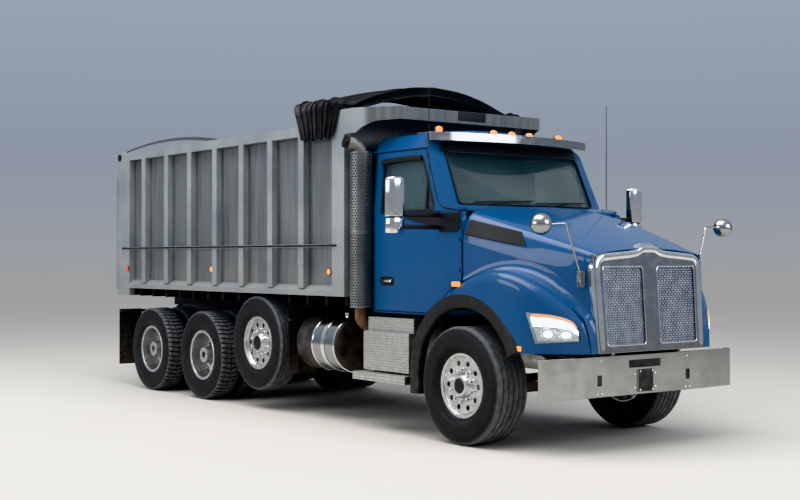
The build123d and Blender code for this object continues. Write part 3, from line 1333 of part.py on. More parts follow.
# Tarp: bunched forward on its bows over the bed's front, hanging over both sides
TARP_SPANS = (
    # X rear, X front, crown Z, edge Z, foot Z
    (AXLE_X - 2710.0, AXLE_X - 2240.0, 3445.0, 3240.0, BED_TOP + 0.3),
    (AXLE_X - 2240.0, FRONT_POST_REAR - 2, 3400.0, 3210.0, BED_TOP + 0.3),
    (FRONT_POST_REAR - 2, AXLE_X - 1830.0, 3374.0, 3200.0, SHIELD_TOP + 0.3),
)
TARP_HALF = BED_HALF + 16.0
TARP_T = 110.0
TARP_BUNCH = ((AXLE_X - 2713.0, AXLE_X - 1830.0), (BED_HALF + RUN_GAP, BED_HALF + 81.0), (2888.0, 3220.0))
with BuildPart() as tarp:
    for rear, front, crown, edge, foot in TARP_SPANS:
        with BuildSketch(Plane.YZ.offset(rear)) as arch:
            with BuildLine():
                Line((TARP_HALF, foot), (TARP_HALF, edge))
                ThreePointArc((TARP_HALF, edge), (0, crown), (-TARP_HALF, edge))
                Line((-TARP_HALF, edge), (-TARP_HALF, foot))
                Line((-TARP_HALF, foot), (TARP_HALF, foot))
            make_face()
        extrude(arch.sketch, amount=front - rear)
    with BuildSketch(Plane.YZ.offset(TARP_SPANS[0][0] - 10)) as hollow:
        with BuildLine():
            ThreePointArc(
                (SIDE_IN, BED_TOP - 10),
                (0, TARP_SPANS[1][2] - TARP_T),
                (-SIDE_IN, BED_TOP - 10),
            )
            Line((-SIDE_IN, BED_TOP - 10), (SIDE_IN, BED_TOP - 10))
        make_face()
    extrude(hollow.sketch, amount=FRONT_POST_REAR - 2 - TARP_SPANS[0][0] + 10, mode=Mode.SUBTRACT)
    for side in (-1, 1):
        near, far = sorted((side * TARP_BUNCH[1][0], side * TARP_BUNCH[1][1]))
        block(TARP_BUNCH[0], (near, far), TARP_BUNCH[2])
keep(tarp, "tarp")

# Rear bow of the tarp, standing on the top rails
BOW_X = (BED_REAR + 30.0, BED_REAR + 80.0)
BOW_T = 40.0
with BuildPart() as tarp_bow:
    with BuildSketch(Plane.YZ.offset(BOW_X[0])) as arch:
        with BuildLine():
            ThreePointArc((BED_HALF - 14, BED_TOP), (0, 3360), (-BED_HALF + 14, BED_TOP))
            Line((-BED_HALF + 14, BED_TOP), (-BED_HALF + 14 + BOW_T, BED_TOP))
            ThreePointArc((-BED_HALF + 14 + BOW_T, BED_TOP), (0, 3360 - BOW_T), (BED_HALF - 14 - BOW_T, BED_TOP))
            Line((BED_HALF - 14 - BOW_T, BED_TOP), (BED_HALF - 14, BED_TOP))
        make_face()
    extrude(arch.sketch, amount=BOW_X[1] - BOW_X[0])
keep(tarp_bow, "tarp_bow")

# Tailgate, hung from two upper pins
GATE_X = (BED_REAR - PART_GAP - GATE_T, BED_REAR - PART_GAP)
GATE_Z = (FLOOR_BOTTOM - 30.0, 2960.0)
GATE_EAR_R = 28.0
GATE_POSTS = (-BED_HALF + 60, -620.0, 0.0, 620.0, BED_HALF - 60)
GATE_BARS = (GATE_Z[0], 1820.0, 2380.0, GATE_Z[1] - 100)
with BuildPart() as tailgate:
    block((GATE_X[1] - SHEET, GATE_X[1]), (-BED_HALF, BED_HALF), GATE_Z)
    for y in GATE_POSTS:
        block(GATE_X, (y - 60, y + 60), GATE_Z)
    for z in GATE_BARS:
        block(GATE_X, (-BED_HALF, BED_HALF), (z, z + 100))
    for side in (-1, 1):
        near, far = sorted((side * GATE_EAR_Y[0], side * GATE_EAR_Y[1]))
        block((GATE_HINGE_X - GATE_EAR_R, GATE_HINGE_X + GATE_EAR_R), (near, far), (GATE_Z[1] - 20, GATE_HINGE_Z))
        across(GATE_HINGE_X, GATE_HINGE_Z, (near, far), GATE_EAR_R)
        across(GATE_HINGE_X, GATE_HINGE_Z, (near, far), GATE_PIN_R + RUN_GAP, Mode.SUBTRACT)
keep(tailgate, "tailgate")

# Hoist cylinder, drawn along X from its foot and then laid to its slope
slope = Location((HOIST_X, 0, HOIST_Z), (0, -HOIST_ANGLE, 0))
with BuildPart() as hoist_barrel:
    with Locations(slope):
        with Locations(Location((sum(BARREL_L) / 2, 0, 0), (0, 90, 0))):
            Cylinder(BARREL_R, BARREL_L[1] - BARREL_L[0])
            Cylinder(HOIST_ROD_R + RUN_GAP, BARREL_L[1] - BARREL_L[0] + 2, mode=Mode.SUBTRACT)
        with Locations(Location((BARREL_L[0] + 15, 0, 0), (0, 90, 0))):
            Cylinder(BARREL_R, 30)
        with Locations((BARREL_L[0] / 2, 0, 0)):
            Box(BARREL_L[0], 60, 2 * HOIST_EYE_R)
        with Locations(Location((0, 0, 0), (90, 0, 0))):
            Cylinder(HOIST_EYE_R, 60)
            Cylinder(HOIST_PIN_R + RUN_GAP, 60, mode=Mode.SUBTRACT)
keep(hoist_barrel, "hoist_barrel")

with BuildPart() as hoist_rod:
    with Locations(slope):
        with Locations(Location(((ROD_START + HOIST_LENGTH - 20) / 2, 0, 0), (0, 90, 0))):
            Cylinder(HOIST_ROD_R, HOIST_LENGTH - 20 - ROD_START)
        with Locations(Location((HOIST_LENGTH, 0, 0), (90, 0, 0))):
            Cylinder(HOIST_ROD_R, 56)
            Cylinder(18, 56, mode=Mode.SUBTRACT)
keep(hoist_rod, "hoist_rod")


# Beside the frame

TANK_X = (AXLE_X - 2700.0, AXLE_X - 1930.0)
TANK_Y = 925.0
TANK_Z = 790.0
TANK_R = 290.0
STRAP_W = 60.0
STRAP_T = 6.0
with BuildPart() as fuel_tanks:
    for side in (-1, 1):
        along(side * TANK_Y, TANK_Z, TANK_X, TANK_R)
        for x in (TANK_X[0] + 170, TANK_X[1] - 170):
            along(side * TANK_Y, TANK_Z, (x - STRAP_W / 2, x + STRAP_W / 2), TANK_R + STRAP_T)
            near, far = sorted((side * RAIL_OUT, side * (TANK_Y - TANK_R + 40)))
            block((x - 25, x + 25), (near, far), (TANK_Z - 60, RAIL_TOP - 40))
keep(fuel_tanks, "fuel_tanks")

STEP_X = (AXLE_X - 1520.0, AXLE_X - 790.0)
LOW_STEP_X = (AXLE_X - 1640.0, AXLE_X - 790.0)
with BuildPart() as cab_steps:
    for side in (-1, 1):
        near, far = sorted((side * 620, side * 1170))
        block(STEP_X, (near, far), (584, 960))
        near, far = sorted((side * 620, side * 1110))
        block(STEP_X, (near, far), (960, 1101))
        near, far = sorted((side * 980, side * 1220))
        block(LOW_STEP_X, (near, far), (480, 556))
        near, far = sorted((side * 1000, side * 1020))
        block((STEP_X[0] + 60, STEP_X[1] - 60), (near, far), (556, 584))
        near, far = sorted((side * RAIL_OUT, side * 620))
        for x in (STEP_X[0] + 150, STEP_X[1] - 150):
            block((x - 30, x + 30), (near, far), (820, 980))
keep(cab_steps, "cab_steps")

# Exhaust: one stack behind the cab on the right, with an elbow from the rail and a turned-out tip
STACK = (AXLE_X - 1630.0, -CAB_HALF - 75.0)
STACK_R = 62.0
STACK_TOP = 2715.0
GUARD_R = 112.0
GUARD_T = 4.0
GUARD_Z = (1185.0, 2745.0)
TIP_TURN = 75.0
TIP_BEND_R = 115.0
TIP_SWING = (-0.3, -0.954)
with BuildPart() as exhaust_stack:
    out = TIP_BEND_R * (1 - cos(radians(TIP_TURN)))
    rise = TIP_BEND_R * sin(radians(TIP_TURN))
    half_out = TIP_BEND_R * (1 - cos(radians(TIP_TURN / 2)))
    half_rise = TIP_BEND_R * sin(radians(TIP_TURN / 2))
    end_out, end_rise = out + 95 * sin(radians(TIP_TURN)), rise + 95 * cos(radians(TIP_TURN))
    with BuildLine() as run:
        FilletPolyline(
            (STACK[0] + 20, -RAIL_OUT + 20, 930),
            (STACK[0] + 20, STACK[1] + 150, 950),
            (STACK[0], STACK[1], 1060),
            (STACK[0], STACK[1], STACK_TOP),
            radius=90,
        )
        ThreePointArc(
            (STACK[0], STACK[1], STACK_TOP),
            (STACK[0] + TIP_SWING[0] * half_out, STACK[1] + TIP_SWING[1] * half_out, STACK_TOP + half_rise),
            (STACK[0] + TIP_SWING[0] * out, STACK[1] + TIP_SWING[1] * out, STACK_TOP + rise),
        )
        Line(
            (STACK[0] + TIP_SWING[0] * out, STACK[1] + TIP_SWING[1] * out, STACK_TOP + rise),
            (STACK[0] + TIP_SWING[0] * end_out, STACK[1] + TIP_SWING[1] * end_out, STACK_TOP + end_rise),
        )
    with BuildSketch(Plane(origin=run.line @ 0, z_dir=run.line % 0)) as ring:
        Circle(STACK_R)
    sweep(ring.sketch, path=run.line)
    block((STACK[0] - 200, STACK[0] + 200), (-RAIL_OUT, 0), (700, 1150), Mode.SUBTRACT)
keep(exhaust_stack, "exhaust_stack")

with BuildPart() as exhaust_guard:
    upright(STACK[0], STACK[1], GUARD_Z, GUARD_R)
    upright(STACK[0], STACK[1], (GUARD_Z[0] + 20, GUARD_Z[1]), GUARD_R - GUARD_T, Mode.SUBTRACT)
    upright(STACK[0], STACK[1], (GUARD_Z[0], GUARD_Z[0] + 20), STACK_R, Mode.SUBTRACT)
keep(exhaust_guard, "exhaust_guard")

# Mud flaps behind the tandem and ahead of the lift axle
FLAP_Y = (895.0, FLAP_HALF)
with BuildPart() as mud_flaps:
    for side in (-1, 1):
        near, far = sorted((side * FLAP_Y[0], side * FLAP_Y[1]))
        block((FLAP_X - FLAP_T / 2, FLAP_X + FLAP_T / 2), (near, far), (275, FLAP_BAR_Z + 25))
        near, far = sorted((side * 851, side * FLAP_HALF))
        block((FRONT_FLAP_X - FLAP_T / 2, FRONT_FLAP_X + FLAP_T / 2), (near, far), (433, 1139))
keep(mud_flaps, "mud_flaps")
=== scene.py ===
"""Finish of a tri-axle dump truck: paint, tyres, tarp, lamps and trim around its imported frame."""

import json
import math

import bmesh
import bpy
import numpy as np
from bpy.props import FloatProperty, FloatVectorProperty, IntProperty, PointerProperty
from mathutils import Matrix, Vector


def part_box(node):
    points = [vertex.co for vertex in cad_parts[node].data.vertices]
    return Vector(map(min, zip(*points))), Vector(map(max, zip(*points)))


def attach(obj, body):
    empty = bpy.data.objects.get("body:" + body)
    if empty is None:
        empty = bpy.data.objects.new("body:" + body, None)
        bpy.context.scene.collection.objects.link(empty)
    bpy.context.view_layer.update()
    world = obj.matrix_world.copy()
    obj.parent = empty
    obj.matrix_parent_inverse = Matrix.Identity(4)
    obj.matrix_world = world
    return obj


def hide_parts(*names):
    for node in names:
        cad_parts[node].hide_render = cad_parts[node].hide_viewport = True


bl_info = {
    "name": "Dump truck finish",
    "version": (1, 0, 0),
    "blender": (4, 5, 0),
    "location": "View3D > Sidebar > Truck",
    "description": "Paint, tyres, tarp, lamps and trim of a dump truck round its CAD frame",
    "category": "Object",
}

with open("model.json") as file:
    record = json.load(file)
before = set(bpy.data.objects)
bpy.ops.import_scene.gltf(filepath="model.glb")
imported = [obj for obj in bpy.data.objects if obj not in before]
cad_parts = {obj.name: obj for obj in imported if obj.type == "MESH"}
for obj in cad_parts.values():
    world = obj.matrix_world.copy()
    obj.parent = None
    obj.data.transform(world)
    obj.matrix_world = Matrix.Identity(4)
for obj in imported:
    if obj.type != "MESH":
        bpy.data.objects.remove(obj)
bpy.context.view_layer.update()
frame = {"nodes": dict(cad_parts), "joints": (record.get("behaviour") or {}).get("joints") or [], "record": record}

# Places from the frame, in metres
PINS = {joint["name"]: joint["pos_m"] for joint in frame["joints"] if "pos_m" in joint}
AXLE_X = PINS["front_left_spin"][0]
SIDES = (("left", 1), ("right", -1))
WHEELS = [name[: -len("_spin")] for name in PINS if name.endswith("_spin")]


# Materials

MATERIALS = {}
FACTOR, COLOUR_A, COLOUR_B, MIXED = 0, 6, 7, 2  # sockets of a colour mix node


def linear(code):
    """Scene-linear RGBA of an sRGB hex colour."""
    channels = [int(code[i : i + 2], 16) / 255 for i in (1, 3, 5)]
    return (*[c / 12.92 if c <= 0.04045 else ((c + 0.055) / 1.055) ** 2.4 for c in channels], 1.0)


def add_node(tree, kind, settings=None, links=None):
    """Add a shader node; settings fill its sockets and properties, links join its sockets to others."""
    node = tree.nodes.new(kind)
    for key, value in (settings or {}).items():
        if isinstance(key, int) or key in node.inputs:
            node.inputs[key].default_value = value
        else:
            setattr(node, key, value)
    for key, socket in (links or {}).items():
        tree.links.new(socket, node.inputs[key])
    return node


class Finish:
    """Material of one Principled shader, laid up in layers. Factors are sockets from 0 to 1, sizes are metres."""

    def __init__(self, name, settings):
        material = MATERIALS[name] = bpy.data.materials.new(name)
        material.use_nodes = True
        self.tree = material.node_tree
        self.shader = self.tree.nodes["Principled BSDF"]
        for key, value in settings.items():
            self.shader.inputs[key].default_value = value

    def feed(self, name, socket):
        """Join a socket to an input of the shader."""
        self.tree.links.new(socket, self.shader.inputs[name])

    def place(self, stretch=(1.0, 1.0, 1.0)):
        """Object coordinates, stretched by a scale for each axis."""
        coordinates = add_node(self.tree, "ShaderNodeTexCoord").outputs["Object"]
        return add_node(self.tree, "ShaderNodeMapping", {"Scale": stretch}, {"Vector": coordinates}).outputs[0]

    def axis(self, name):
        """One of the object coordinates."""
        return add_node(self.tree, "ShaderNodeSeparateXYZ", links={0: self.place()}).outputs[name]

    def ranged(self, value, settings):
        """Value carried from one range to another."""
        return add_node(self.tree, "ShaderNodeMapRange", settings, {"Value": value}).outputs[0]

    def spots(self, size, detail=3.0, stretch=(1.0, 1.0, 1.0), low=0.35, high=0.65):
        """Noise of a real size, drawn out along the axes and cut to a range."""
        settings = {"Scale": 1.0 / size, "Detail": detail}
        noise = add_node(self.tree, "ShaderNodeTexNoise", settings, {"Vector": self.place(stretch)})
        return self.ranged(noise.outputs["Fac"], {"From Min": low, "From Max": high})

    def low_down(self, low, high):
        """Factor that falls from 1 at a low height above the road to 0 at a high one."""
        return self.ranged(self.axis("Z"), {"From Min": low, "From Max": high, "To Min": 1.0, "To Max": 0.0})

    def maths(self, operation, first, second=0.0):
        """Product, sum or other operation of a socket with a socket or a number."""
        links, settings = {0: first}, {"operation": operation}
        (settings if isinstance(second, float) else links)[1] = second
        return add_node(self.tree, "ShaderNodeMath", settings, links).outputs[0]

    def times(self, first, second):
        """Product of a socket with a socket or a number."""
        return self.maths("MULTIPLY", first, second)

    def mix(self, factor, first, second):
        """Colour mixed by a factor from two hex codes, linear colours or sockets."""
        settings, links = {"data_type": "RGBA"}, {FACTOR: factor}
        for socket, colour in ((COLOUR_A, first), (COLOUR_B, second)):
            if isinstance(colour, str):
                settings[socket] = linear(colour)
            elif isinstance(colour, tuple):
                settings[socket] = colour
            else:
                links[socket] = colour
        return add_node(self.tree, "ShaderNodeMix", settings, links).outputs[MIXED]

    def colour(self, factor, first, second):
        """Base colour, mixed from two by a factor."""
        self.feed("Base Color", self.mix(factor, first, second))

    def rough(self, factor, low, high):
        """Roughness, spread by a factor between two values."""
        self.feed("Roughness", self.ranged(factor, {"To Min": low, "To Max": high}))

    def bump(self, height, depth, edge=0.0):
        """Relief of a real depth, over edges softened by a small radius."""
        links = {"Height": height}
        if edge:
            links["Normal"] = add_node(self.tree, "ShaderNodeBevel", {"Radius": edge, "samples": 4}).outputs[0]
        settings = {"Strength": 1.0, "Distance": depth}
        self.feed("Normal", add_node(self.tree, "ShaderNodeBump", settings, links).outputs[0])


def enamel():
    """Two-pack enamel sprayed on steel and moulded panels: deep blue under a clear gloss, dusty low down."""
    settings = {"Roughness": 0.36, "Coat Weight": 0.6, "Coat Roughness": 0.05, "Specular IOR Level": 0.3}
    skin = Finish("blue_enamel", settings)
    film = skin.times(skin.low_down(0.7, 1.9), skin.spots(0.35, 4.0))
    skin.colour(skin.times(film, 0.14), (*bpy.context.scene.truck_paint.blue, 1.0), "#7C7264")
    skin.bump(skin.spots(0.004, 1.0), 0.00002, edge=0.006)


def weathered_sheet():
    """Weathered body sheet of light grey metal: dull, streaked down from the rail, darker between the posts as painted
    shade in the recessed panels.
    """
    sheet = Finish("weathered_sheet", {"Metallic": 0.35})
    # Mask of the recessed panels between the posts, which take darker colours: painted shade.
    between = sheet.ranged(sheet.maths("ABSOLUTE", sheet.axis("Y")), {"From Min": 1.16, "From Max": 1.13})
    streaks, patches = sheet.spots(0.05, 5.0, (1.0, 1.0, 0.06), 0.3, 0.72), sheet.spots(0.5, 4.0)
    # The panel colours are darker than the post colours as painted shade; the streaks across them are real weathering.
    post, panel = sheet.mix(patches, "#868D91", "#9BA1A4"), sheet.mix(streaks, "#53575A", "#6E7376")
    dust = sheet.times(sheet.low_down(1.2, 1.9), patches)
    sheet.colour(sheet.times(dust, 0.55), sheet.mix(between, post, panel), "#8F867A")
    sheet.rough(streaks, 0.42, 0.62)
    sheet.bump(sheet.spots(0.16, 2.0), 0.0012, edge=0.006)


def chassis_black():
    """Chassis enamel over steel: black and half gloss, with road dust that thickens towards the ground."""
    coat = Finish("chassis_black", {"Roughness": 0.5})
    dust = coat.times(coat.low_down(0.2, 1.3), coat.spots(0.12, 5.0))
    coat.colour(coat.times(dust, 0.7), "#17181A", "#6E6459")
    coat.bump(coat.spots(0.012, 3.0), 0.0004, edge=0.004)


def cast_iron():
    """Cast iron under engine paint: dull grey with a sand-cast skin."""
    iron = Finish("cast_iron", {"Roughness": 0.65, "Metallic": 0.3})
    iron.colour(iron.spots(0.08, 5.0), "#3B3D3F", "#55585A")
    iron.bump(iron.spots(0.006, 3.0), 0.0006, edge=0.008)


def polished_steel():
    """Polished stainless steel sheet: a clear mirror, softened by wipe marks and a little road film."""
    steel = Finish("polished_steel", {"Metallic": 1.0})
    film = steel.times(steel.low_down(0.4, 1.3), steel.spots(0.2, 5.0))
    steel.colour(steel.times(film, 0.3), "#A9AAAA", "#857D70")
    steel.rough(steel.spots(0.1, 4.0), 0.09, 0.2)
    steel.bump(steel.spots(0.4, 1.0), 0.0006, edge=0.008)


def satin_steel():
    """Pressed steel: bright metal with a satin skin."""
    steel = Finish("satin_steel", {"Metallic": 1.0, "Roughness": 0.3})
    steel.colour(steel.spots(0.09, 4.0), "#A4A6A8", "#C6C8CA")


def woven_wire():
    """Crimped stainless wire: pale and satin, so that each crown of the weave catches the light."""
    wire = Finish("woven_wire", {"Metallic": 0.75, "Roughness": 0.38})
    wire.colour(wire.spots(0.09, 4.0), "#9FA6B6", "#BCC2CE")


def punched_steel():
    """Punched mild steel of the guard: dull grey, paler and darker in bands up its height."""
    steel = Finish("punched_steel", {"Metallic": 0.85, "Roughness": 0.42})
    steel.colour(steel.spots(0.18, 4.0, (1.0, 1.0, 0.4)), "#6F7173", "#8D8E8D")


def floor_plate():
    """Bed floor: plate scoured bright by the load on top, near black on the members under it."""
    plate = Finish("floor_plate", {"Roughness": 0.55, "Metallic": 0.3})
    scour = plate.mix(plate.spots(0.12, 5.0, (0.15, 1.0, 1.0)), "#5E6061", "#8A8C8C")
    plate.colour(plate.low_down(1.300, 1.304), scour, "#15171A")
    plate.bump(plate.spots(0.06, 4.0, (0.2, 1.0, 1.0)), 0.0012, edge=0.004)


def stack_steel():
    """Exhaust tube of plated steel: grey above, burnt to brown rust at the elbow by the hot gas."""
    tube = Finish("stack_steel", {"Metallic": 0.6})
    scale = tube.spots(0.05, 6.0)
    grey, rust = tube.mix(scale, "#77797A", "#94908A"), tube.mix(scale, "#5E4A3E", "#86705F")
    tube.colour(tube.low_down(1.15, 1.45), grey, rust)
    tube.rough(scale, 0.35, 0.75)
    tube.bump(scale, 0.0005)


def wheel_alloy():
    """Forged aluminium, turned and polished: bright, with fine haze and brake dust in its corners."""
    alloy = Finish("wheel_alloy", {"Metallic": 1.0})
    haze = alloy.spots(0.05, 4.0)
    alloy.colour(alloy.times(haze, 0.5), "#CFD0D0", "#94908A")
    alloy.rough(haze, 0.26, 0.38)
    alloy.bump(alloy.spots(0.25, 1.0), 0.0003, edge=0.004)


def step_aluminium():
    """Extruded aluminium step board: pale dull metal, walked on and dusty."""
    board = Finish("step_aluminium", {"Metallic": 0.7})
    dirt = board.spots(0.22, 3.0)
    board.colour(board.times(dirt, 0.5), "#AFADA8", "#8D867B")
    board.rough(dirt, 0.35, 0.6)
    board.bump(dirt, 0.0004, edge=0.004)


def tyre_rubber():
    """Vulcanised rubber: near black on the wall, grey with quarry dust on the tread."""
    rubber = Finish("tyre_rubber", {"Specular IOR Level": 0.35})
    worn = add_node(rubber.tree, "ShaderNodeAttribute", {"attribute_name": "worn"}).outputs["Fac"]
    grain = rubber.spots(0.05, 6.0, low=0.3, high=0.7)
    dust = rubber.times(worn, rubber.maths("ADD", rubber.times(grain, 0.5), 0.5))
    rubber.colour(dust, rubber.mix(grain, "#0B0B0D", "#121214"), "#747576")
    rubber.rough(dust, 0.5, 0.9)
    rubber.bump(rubber.spots(0.004, 2.0), 0.0002)


def flap_rubber():
    """Moulded sheet rubber: flat black, splashed with dry mud towards its foot."""
    flap = Finish("flap_rubber", {"Roughness": 0.75})
    mud = flap.times(flap.low_down(0.25, 0.9), flap.spots(0.06, 6.0))
    flap.colour(flap.times(mud, 0.6), "#18191B", "#6A6054")
    flap.bump(flap.spots(0.01, 3.0), 0.0004, edge=0.003)


def moulded_black():
    """Moulded polypropylene: soft black with a fine spark grain, greyed a little by dust."""
    plastic = Finish("moulded_black", {"Roughness": 0.55})
    dust = plastic.times(plastic.low_down(0.4, 1.5), plastic.spots(0.08, 5.0))
    plastic.colour(plastic.times(dust, 0.4), "#141517", "#5B554D")
    plastic.bump(plastic.spots(0.003, 2.0), 0.0003, edge=0.006)


def seal_rubber():
    """Extruded seal rubber: smooth and black, a little glossy."""
    rubber = Finish("seal_rubber", {"Roughness": 0.4})
    rubber.colour(rubber.spots(0.03), "#0C0D0E", "#151617")


def seat_cloth():
    """Woven seat cloth: dark grey yarn with a soft sheen, its weave drawn 3 mm wide so that it shows."""
    cloth = Finish("seat_cloth", {"Roughness": 0.9, "Sheen Weight": 0.3})
    settings = {"Scale": 33.0, "Distortion": 2.0}
    weave = add_node(cloth.tree, "ShaderNodeTexWave", settings, {"Vector": cloth.place()}).outputs["Fac"]
    cloth.colour(weave, "#232428", "#3A3C42")
    cloth.bump(weave, 0.0006)


def tarp_vinyl():
    """Vinyl-coated polyester tarp: black and supple, with a dull shine along its folds and chalky dust."""
    vinyl = Finish("tarp_vinyl", {"Roughness": 0.48, "Specular IOR Level": 0.45})
    vinyl.colour(vinyl.times(vinyl.spots(0.2, 6.0, low=0.45, high=0.75), 0.35), "#101114", "#4B4845")
    vinyl.bump(vinyl.spots(0.03, 5.0), 0.0015)


def window_glass():
    """Tinted safety glass: cool grey, see-through, with a hard clear reflection."""
    settings = {"Roughness": 0.02, "IOR": 1.5, "Alpha": 0.46, "Coat Weight": 1.0, "Coat Roughness": 0.02}
    glass = Finish("window_glass", settings)
    glass.colour(glass.spots(0.6, 2.0), "#47585C", "#5A6C70")


def mirror_glass():
    """Silvered mirror glass: a dark clear reflection."""
    glass = Finish("mirror_glass", {"Roughness": 0.02, "Metallic": 1.0})
    glass.colour(glass.spots(0.3), "#8E979C", "#A2AAAE")


def lamp_cover():
    """Clear polycarbonate lamp cover: nearly invisible, with a hard gloss."""
    cover = Finish("lamp_cover", {"Roughness": 0.03, "Alpha": 0.22, "Coat Weight": 1.0, "Coat Roughness": 0.02})
    cover.colour(cover.spots(0.2), "#C9D2D8", "#E4EAEE")


def reflector():
    """Metallised plastic of a lamp's reflectors: bright silver."""
    silver = Finish("reflector", {"Roughness": 0.12, "Metallic": 1.0})
    silver.colour(silver.spots(0.05), "#DDE1E4", "#F2F4F5")


def plated():
    """Chrome plate over steel, for nuts, caps and bezels: the brightest and cleanest metal."""
    chrome = Finish("plated", {"Roughness": 0.07, "Metallic": 1.0})
    chrome.colour(chrome.spots(0.1), "#D8DADB", "#E6E7E8")


def lens(name, rib, glow, strength):
    """Moulded acrylic lens, lit from behind: saturated colour, brighter through its ribs."""
    acrylic = Finish(name, {"Roughness": 0.12, "Coat Weight": 0.6, "Emission Strength": strength})
    ribs = acrylic.spots(0.012, 1.0)
    acrylic.colour(ribs, rib, glow)
    acrylic.feed("Emission Color", acrylic.mix(ribs, rib, glow))


MAKERS = (
    enamel, weathered_sheet, chassis_black, cast_iron, polished_steel, satin_steel, woven_wire, punched_steel,
    floor_plate, stack_steel, wheel_alloy, step_aluminium, tyre_rubber, flap_rubber, moulded_black, seal_rubber,
    seat_cloth, tarp_vinyl, window_glass, mirror_glass, lamp_cover, reflector, plated,
)
LENSES = (
    # name, rib colour, glow colour, emission strength
    ("amber_lens", "#FF9400", "#FFA800", 1.7),
    ("red_lens", "#C00806", "#FF1A08", 1.0),
    ("white_lens", "#F4F6F8", "#FFFFFF", 2.8),
)
SLOT_FINISH = {
    "blue_paint": "blue_enamel",
    "bed_metal": "weathered_sheet",
    "chassis_paint": "chassis_black",
    "engine_iron": "cast_iron",
    "bright_steel": "polished_steel",
    "mesh_steel": "satin_steel",
    "stack_steel": "stack_steel",
    "alloy": "wheel_alloy",
    "tyre_rubber": "tyre_rubber",
    "flap_rubber": "flap_rubber",
    "clear_glass": "window_glass",
    "black_plastic": "moulded_black",
    "seat_cloth": "seat_cloth",
    "tarp_cloth": "tarp_vinyl",
    "amber_lens": "amber_lens",
    "lamp_lens": "lamp_cover",
}
NODE_FINISH = {"bed_floor": "floor_plate"}


# Shapes: each function returns its points and its quads

def spot(x, y, z):
    """Point at a distance ahead of the front axle."""
    return np.array([AXLE_X + x, y, z])


def stacked_up(*coordinates):
    """Points from coordinates that are arrays or single values."""
    return np.stack(np.broadcast_arrays(*coordinates), axis=-1)


def grid(points, closed_u=False, closed_v=False):
    """Quads over an array of points; a closed direction joins its last row to its first."""
    index = np.arange(points.shape[0] * points.shape[1]).reshape(points.shape[:2])
    if closed_u:
        index = np.vstack([index, index[:1]])
    if closed_v:
        index = np.hstack([index, index[:, :1]])
    quads = np.stack([index[:-1, :-1], index[1:, :-1], index[1:, 1:], index[:-1, 1:]], axis=-1)
    return points.reshape(-1, 3), quads.reshape(-1, 4)


def joined(shapes):
    """Several shapes as one set of points and quads."""
    starts = np.cumsum([0] + [len(points) for points, _ in shapes[:-1]])
    quads = [faces + start for (_, faces), start in zip(shapes, starts)]
    return np.vstack([points for points, _ in shapes]), np.vstack(quads)


def lathe(profile, centre, axis="Y", segments=64, closed=False, way=1):
    """Turned form: the point (a, r) of the profile goes to a along the axis and r away from it at each angle."""
    profile = np.array(profile, float) * (way, 1)
    angle = np.linspace(0.0, 2 * math.pi, segments, endpoint=False)
    a = np.repeat(profile[:, :1], segments, axis=1)
    c, s = profile[:, 1:] * np.cos(angle), profile[:, 1:] * np.sin(angle)
    order = {"X": (a, c, s), "Y": (c, a, s), "Z": (c, s, a)}[axis]
    return grid(np.stack(order, axis=-1) + np.array(centre), closed_u=closed, closed_v=True)


def sweep(path, section, up=(0.0, 0.0, 1.0)):
    """Section carried along a path: the point (p, q) goes p to the side and q up at each place, ends closed."""
    path, section = np.array(path, float), np.array(section, float)
    run = unit(np.gradient(path, axis=0))
    side = unit(np.cross(run, np.array(up, float)))
    over = np.cross(side, run)
    body = path[:, None] + section[None, :, :1] * side[:, None] + section[None, :, 1:] * over[:, None]
    first, last = [np.repeat(end.mean(axis=1, keepdims=True), body.shape[1], axis=1) for end in (body[:1], body[-1:])]
    return grid(np.concatenate([first, body, last]), closed_v=True)


def unit(vectors):
    """Vectors brought to a length of 1."""
    return vectors / np.linalg.norm(vectors, axis=-1, keepdims=True)


def circle(radius, sides=12):
    """Points of a circle."""
    angle = np.linspace(0.0, 2 * math.pi, sides, endpoint=False)
    return np.stack([radius * np.cos(angle), radius * np.sin(angle)], axis=-1)


def rounded_rectangle(width, height, radius, steps=4):
    """Outline of a rectangle about its middle: quarter circles of one radius at its four corners."""
    turn = np.linspace(0.0, math.pi / 2, steps + 1)
    corners = []
    for index, (sx, sy) in enumerate(((1, 1), (-1, 1), (-1, -1), (1, -1))):
        angle = turn + index * math.pi / 2
        middle = np.array([sx * (width / 2 - radius), sy * (height / 2 - radius)])
        corners.append(middle + radius * np.stack([np.cos(angle), np.sin(angle)], axis=-1))
    return np.concatenate(corners)


def eased(points, rounds=3):
    """Path with its corners cut to a quarter again and again, which tends to a smooth quadratic spline."""
    points = np.array(points, float)
    for _ in range(rounds):
        near, far = 0.75 * points[:-1] + 0.25 * points[1:], 0.25 * points[:-1] + 0.75 * points[1:]
        inner = np.stack([near, far], axis=1).reshape(-1, points.shape[1])
        points = np.concatenate([points[:1], inner[1:-1], points[-1:]])
    return points


def resampled(points, count):
    """Points of a path at equal steps of its length."""
    points = np.array(points, float)
    run = np.concatenate([[0.0], np.cumsum(np.linalg.norm(np.diff(points, axis=0), axis=1))])
    at = np.linspace(0.0, run[-1], count)
    return np.stack([np.interp(at, run, points[:, k]) for k in range(points.shape[1])], axis=-1)


